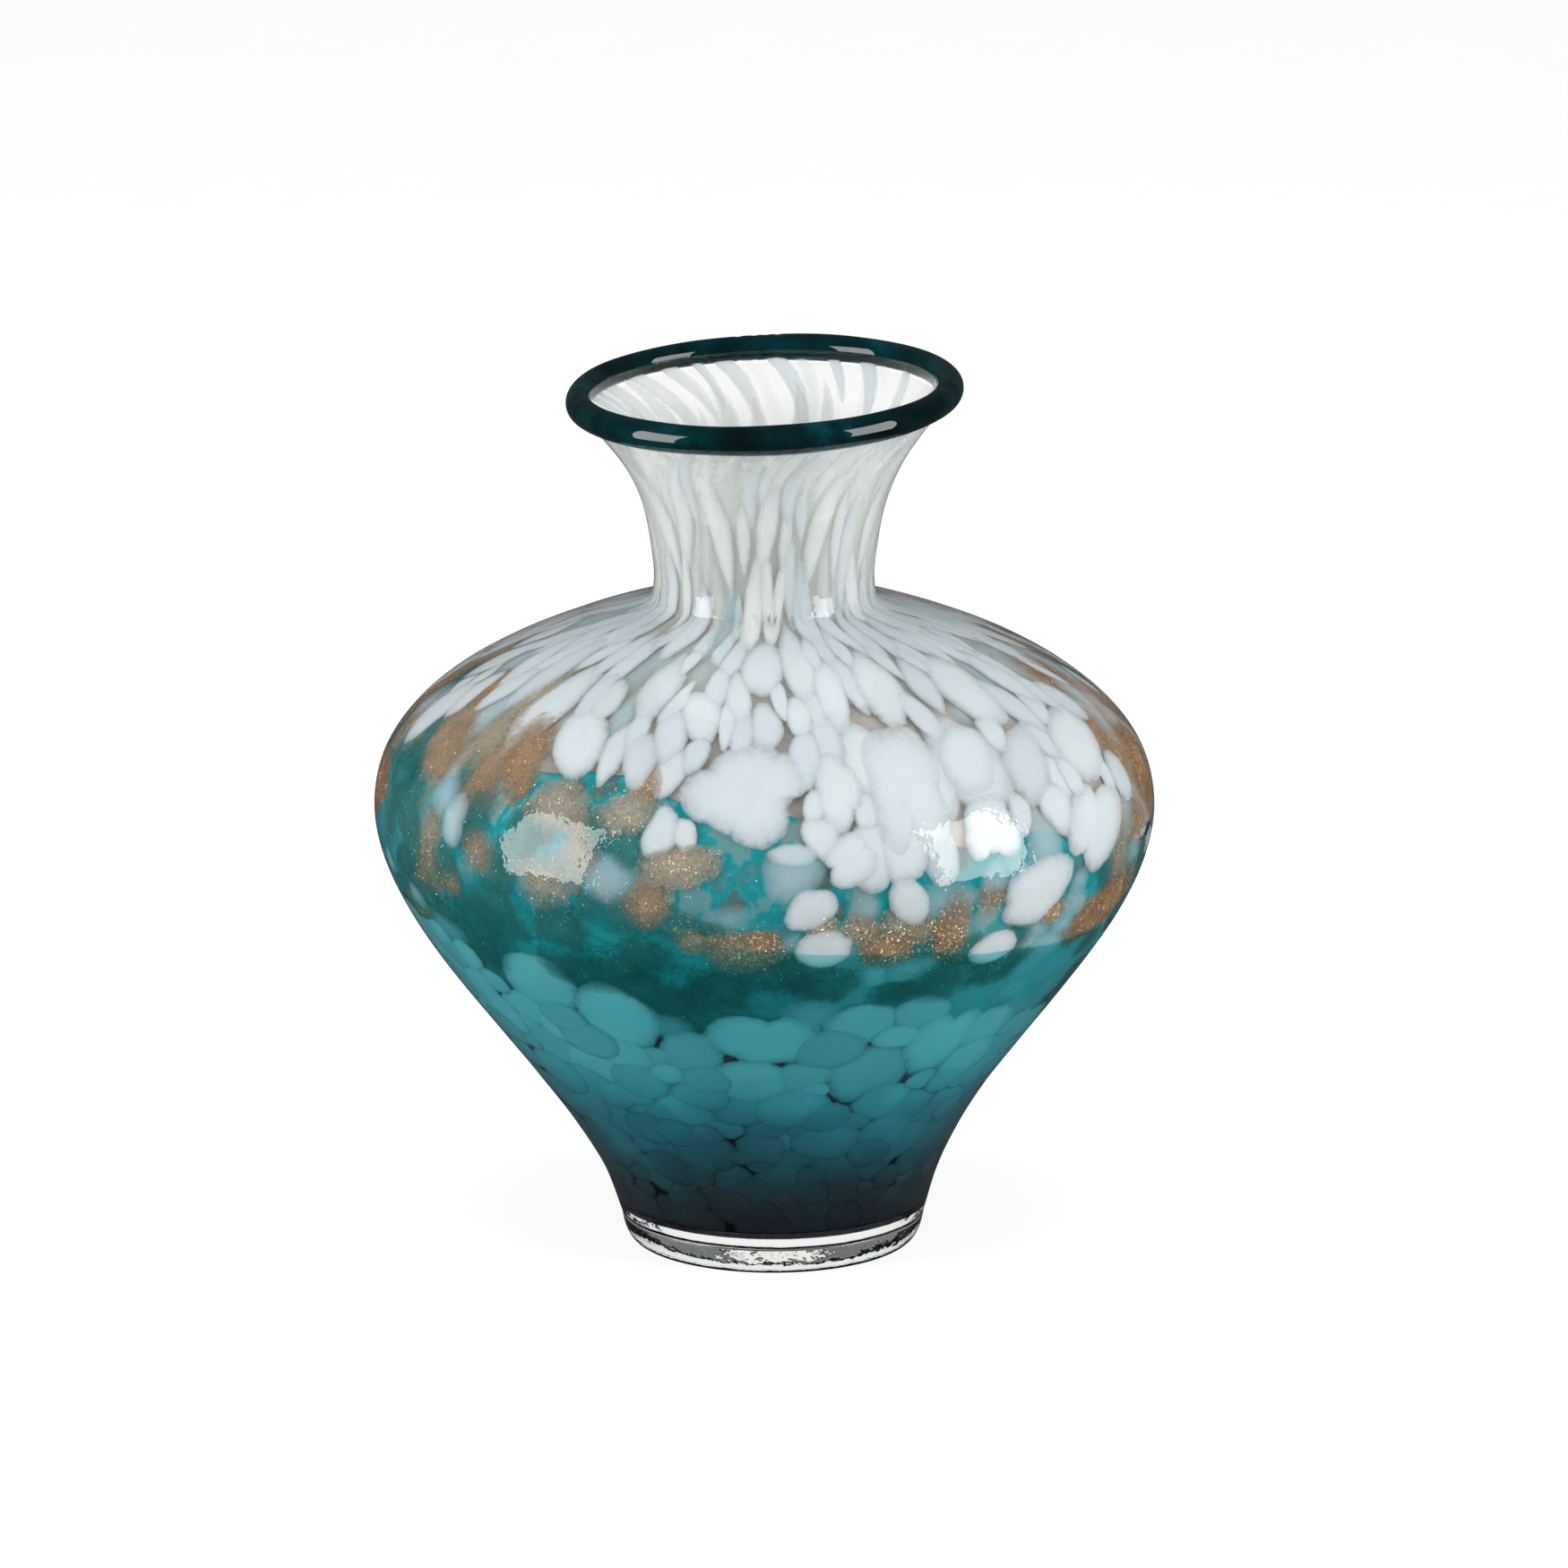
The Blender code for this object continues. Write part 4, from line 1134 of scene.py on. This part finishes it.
def make_small_chips():
    """The other chips that can be made out, then every smaller one, packed between."""
    groups = {}
    angle = np.arange(SEEN_CHIP_SIDES) * math.tau / SEEN_CHIP_SIDES
    for left, right, low, high, band, cover, tone in SEEN_CHIPS:
        turn, along = math.radians(0.5 * (left + right)), wall.place(0.5 * (low + high) * MM)
        half_across = math.radians(0.5 * (right - left)) * wall.radius_at(along)
        half_up = 0.5 * (wall.place(high * MM) - wall.place(low * MM))
        across, up = lobed_chip(random_lobes(), angle, half_across, half_up)
        placed_chips.append((turn, along, half_across, half_up, 0.0))
        sink = rng.uniform(0.0001, 0.0003) if cover > 0.9 else 0.0003
        groups.setdefault(band, ChipMesh()).add(turn, along, across, up, tone, cover, sink, 0.8)
        if band == "copper":
            flakes.around(turn, along, half_across, half_up, COPPER_FLAKES["seen"])
    packing = Packing()
    for index, (turn, along, _) in enumerate(packing.seeds):
        height = wall.height_at(along) / MM
        colour = colour_of(turn, height)
        if colour is None:
            continue
        if colour == "lower":
            loose = rng.uniform() < LOOSE_SHARE
            across, up = packing.outline(index, "lower", LOOSE_FILL if loose else None)
            tone, cover, sink = rng.uniform(), 1.0, rng.uniform(-0.0004, 0.0002)
        elif colour in ("copper", "moss"):
            across, up = packing.outline(index, "frit")
            tone = rng.uniform(0.2, 1.0) if abs(math.degrees(turn)) < 70 else rng.uniform(0, 0.4)
            cover, sink = rng.uniform(0.5, 0.9), 0.0001
            flakes.around(turn, along, np.abs(across).max(), np.abs(up).max(),
                          COPPER_FLAKES[colour])
        else:
            across, up = packing.outline(index, "opal")
            thin = colour == "thin"
            cover = rng.uniform(0.15, 0.5) if thin else rng.uniform(0.88, 1.0)
            tone, sink = rng.uniform(), rng.uniform(-0.0003, 0.0002)
        if height > DRAWN_OUT:
            across = across * (1 - 0.25 * (up / np.abs(up).max()) ** 2)
            up = up * rng.uniform(1.0, 1.35)
        lean = 0.08 * rng.normal()
        if colour in ("white", "thin"):
            band = "neck" if height > NECK else "shoulder" if height > SHOULDER else "belly"
        else:
            band = colour
        mesh = groups.setdefault(band, ChipMesh())
        mesh.add(turn, along, across + lean * up, up, tone, cover, sink, rng.uniform(0.7, 1.0))
    looks = {"lower": (LOWER_GLASS, "opal_white"), "belly": (OPAL_GLASS, "opal_white"),
             "shoulder": (OPAL_GLASS, "opal_white"), "neck": (STREAK_GLASS, "opal_white"),
             "copper": (COPPER_GLASS, "copper_aventurine"),
             "moss": (MOSS_GLASS, "copper_aventurine")}
    for band, mesh in sorted(groups.items()):
        material, slot = looks[band]
        mesh.build(f"small_frit_{band}", material, slot)
    flakes.build()


# ---------------------------------------------------------------- studio

def make_floor():
    """A pale floor, with a painted shadow round the vase's foot that only rays coming through the
    foot's glass see.
    """
    mesh = bpy.data.meshes.new("studio_floor")
    mesh.from_pydata([(-9, -6, 0), (9, -6, 0), (9, 14, 0), (-9, 14, 0)], [], [(0, 1, 2, 3)])
    floor = bpy.data.objects.new("studio_floor", mesh)
    bpy.context.scene.collection.objects.link(floor)
    n = Nodes("pale_floor")
    paper = n.mix(n.noise(30.0, 2.0), (0.27, 0.27, 0.27), (0.29, 0.29, 0.29))
    matt = n.add("ShaderNodeBsdfDiffuse", {"Color": paper})
    path = n.add("ShaderNodeLightPath")
    away = n.add("ShaderNodeVectorMath", {0: n.position()}, operation="LENGTH").outputs["Value"]
    # Painted shadow: near the vase the floor's glow is cut, for rays seen through the glass only.
    under = n.maths("SUBTRACT", 1.0, n.between(away, 0.08, 0.30))
    under = n.maths("MULTIPLY", under, path.outputs["Is Transmission Ray"])
    seen = n.maths("MAXIMUM", path.outputs["Is Camera Ray"], path.outputs["Is Transmission Ray"])
    glow = n.maths("ADD", n.maths("MULTIPLY", seen, 0.42), 0.40)
    glow = n.maths("SUBTRACT", glow, n.maths("MULTIPLY", under, 0.60))
    lit = n.add("ShaderNodeEmission", {"Color": (1.0, 1.0, 1.0), "Strength": glow})
    both = n.add("ShaderNodeAddShader", {0: matt.outputs[0], 1: lit.outputs[0]})
    mesh.materials.append(n.finish(both.outputs[0]))
    floor.visible_glossy = False


def add_lamp(name, shape, size, power, place):
    """An area lamp turned to the vase."""
    light = bpy.data.lights.new(name, "AREA")
    light.shape = shape
    light.size, light.size_y = size
    light.energy = power
    lamp = bpy.data.objects.new(name, light)
    lamp.location = Vector(place)
    lamp.rotation_euler = (LAMP_AIM - lamp.location).to_track_quat("-Z", "Y").to_euler()
    bpy.context.scene.collection.objects.link(lamp)
    return lamp


def make_lamps():
    """Two tall softboxes to the sides and a soft fill overhead."""
    for name, side in (("softbox_left", -1), ("softbox_right", 1)):
        place = (side * SOFTBOX_DISTANCE * math.sin(SOFTBOX_AZIMUTH),
                 -SOFTBOX_DISTANCE * math.cos(SOFTBOX_AZIMUTH), SOFTBOX_HEIGHT)
        add_lamp(name, "RECTANGLE", SOFTBOX_SIZE, SOFTBOX_POWER, place)
    lamp = add_lamp("overhead_fill", "DISK", (FILL_SIZE, FILL_SIZE), FILL_POWER, FILL_PLACE)
    lamp.visible_glossy = False
    lamp.visible_transmission = False


def make_world():
    """A white backdrop, darker for reflections and for what the glass bends into view."""
    world = bpy.data.worlds.new("studio")
    bpy.context.scene.world = world
    world.use_nodes = True
    tree = world.node_tree
    tree.nodes.clear()

    def add(kind, **values):
        node = tree.nodes.new(kind)
        for key, value in values.items():
            setattr(node, key, value)
        return node

    path = add("ShaderNodeLightPath")
    facing = add("ShaderNodeSeparateXYZ")
    tree.links.new(add("ShaderNodeTexCoord").outputs["Generated"], facing.inputs[0])
    backdrop = add("ShaderNodeMapRange")
    for socket, value in (("From Min", -0.3), ("From Max", 0.55), ("To Min", 0.42),
                          ("To Max", 1.0)):
        backdrop.inputs[socket].default_value = value
    tree.links.new(facing.outputs["Y"], backdrop.inputs["Value"])
    strength = backdrop.outputs[0]
    outside = add("ShaderNodeMath", operation="SUBTRACT", use_clamp=True)
    tree.links.new(path.outputs["Is Glossy Ray"], outside.inputs[0])
    tree.links.new(path.outputs["Transmission Depth"], outside.inputs[1])
    for ray, level in ((path.outputs["Is Diffuse Ray"], 0.38), (outside.outputs[0], 0.05),
                       (path.outputs["Is Camera Ray"], 1.0)):
        step = add("ShaderNodeMix", data_type="FLOAT")
        tree.links.new(ray, step.inputs[0])
        tree.links.new(strength, step.inputs[2])
        step.inputs[3].default_value = level
        strength = step.outputs[0]
    sky = add("ShaderNodeBackground")
    sky.inputs[0].default_value = (1.0, 1.0, 1.0, 1.0)
    tree.links.new(strength, sky.inputs[1])
    tree.links.new(sky.outputs[0], add("ShaderNodeOutputWorld").inputs[0])


def make_camera():
    """The camera, and what the light needs to pass through every layer of glass."""
    scene = bpy.context.scene
    data = bpy.data.cameras.new("camera")
    data.lens = CAMERA_LENS
    data.sensor_width = 36.0
    data.clip_start, data.clip_end = 0.1, 60.0
    camera = bpy.data.objects.new("camera", data)
    back = Vector((0.0, -math.cos(CAMERA_ELEVATION), math.sin(CAMERA_ELEVATION)))
    camera.location = CAMERA_AIM + back * CAMERA_DISTANCE
    camera.rotation_euler = (-back).to_track_quat("-Z", "Y").to_euler()
    scene.collection.objects.link(camera)
    scene.camera = camera
    scene.view_settings.view_transform = "Standard"
    scene.cycles.use_denoising = True
    scene.cycles.max_bounces = 14
    scene.cycles.transmission_bounces = 12
    scene.cycles.transparent_max_bounces = 40
    scene.cycles.caustics_refractive = False
    scene.cycles.caustics_reflective = False


make_casing()
make_bubble()
make_foot()
make_lip()
make_layers()
make_cad_chips()
make_small_chips()
make_floor()
make_lamps()
make_world()
make_camera()
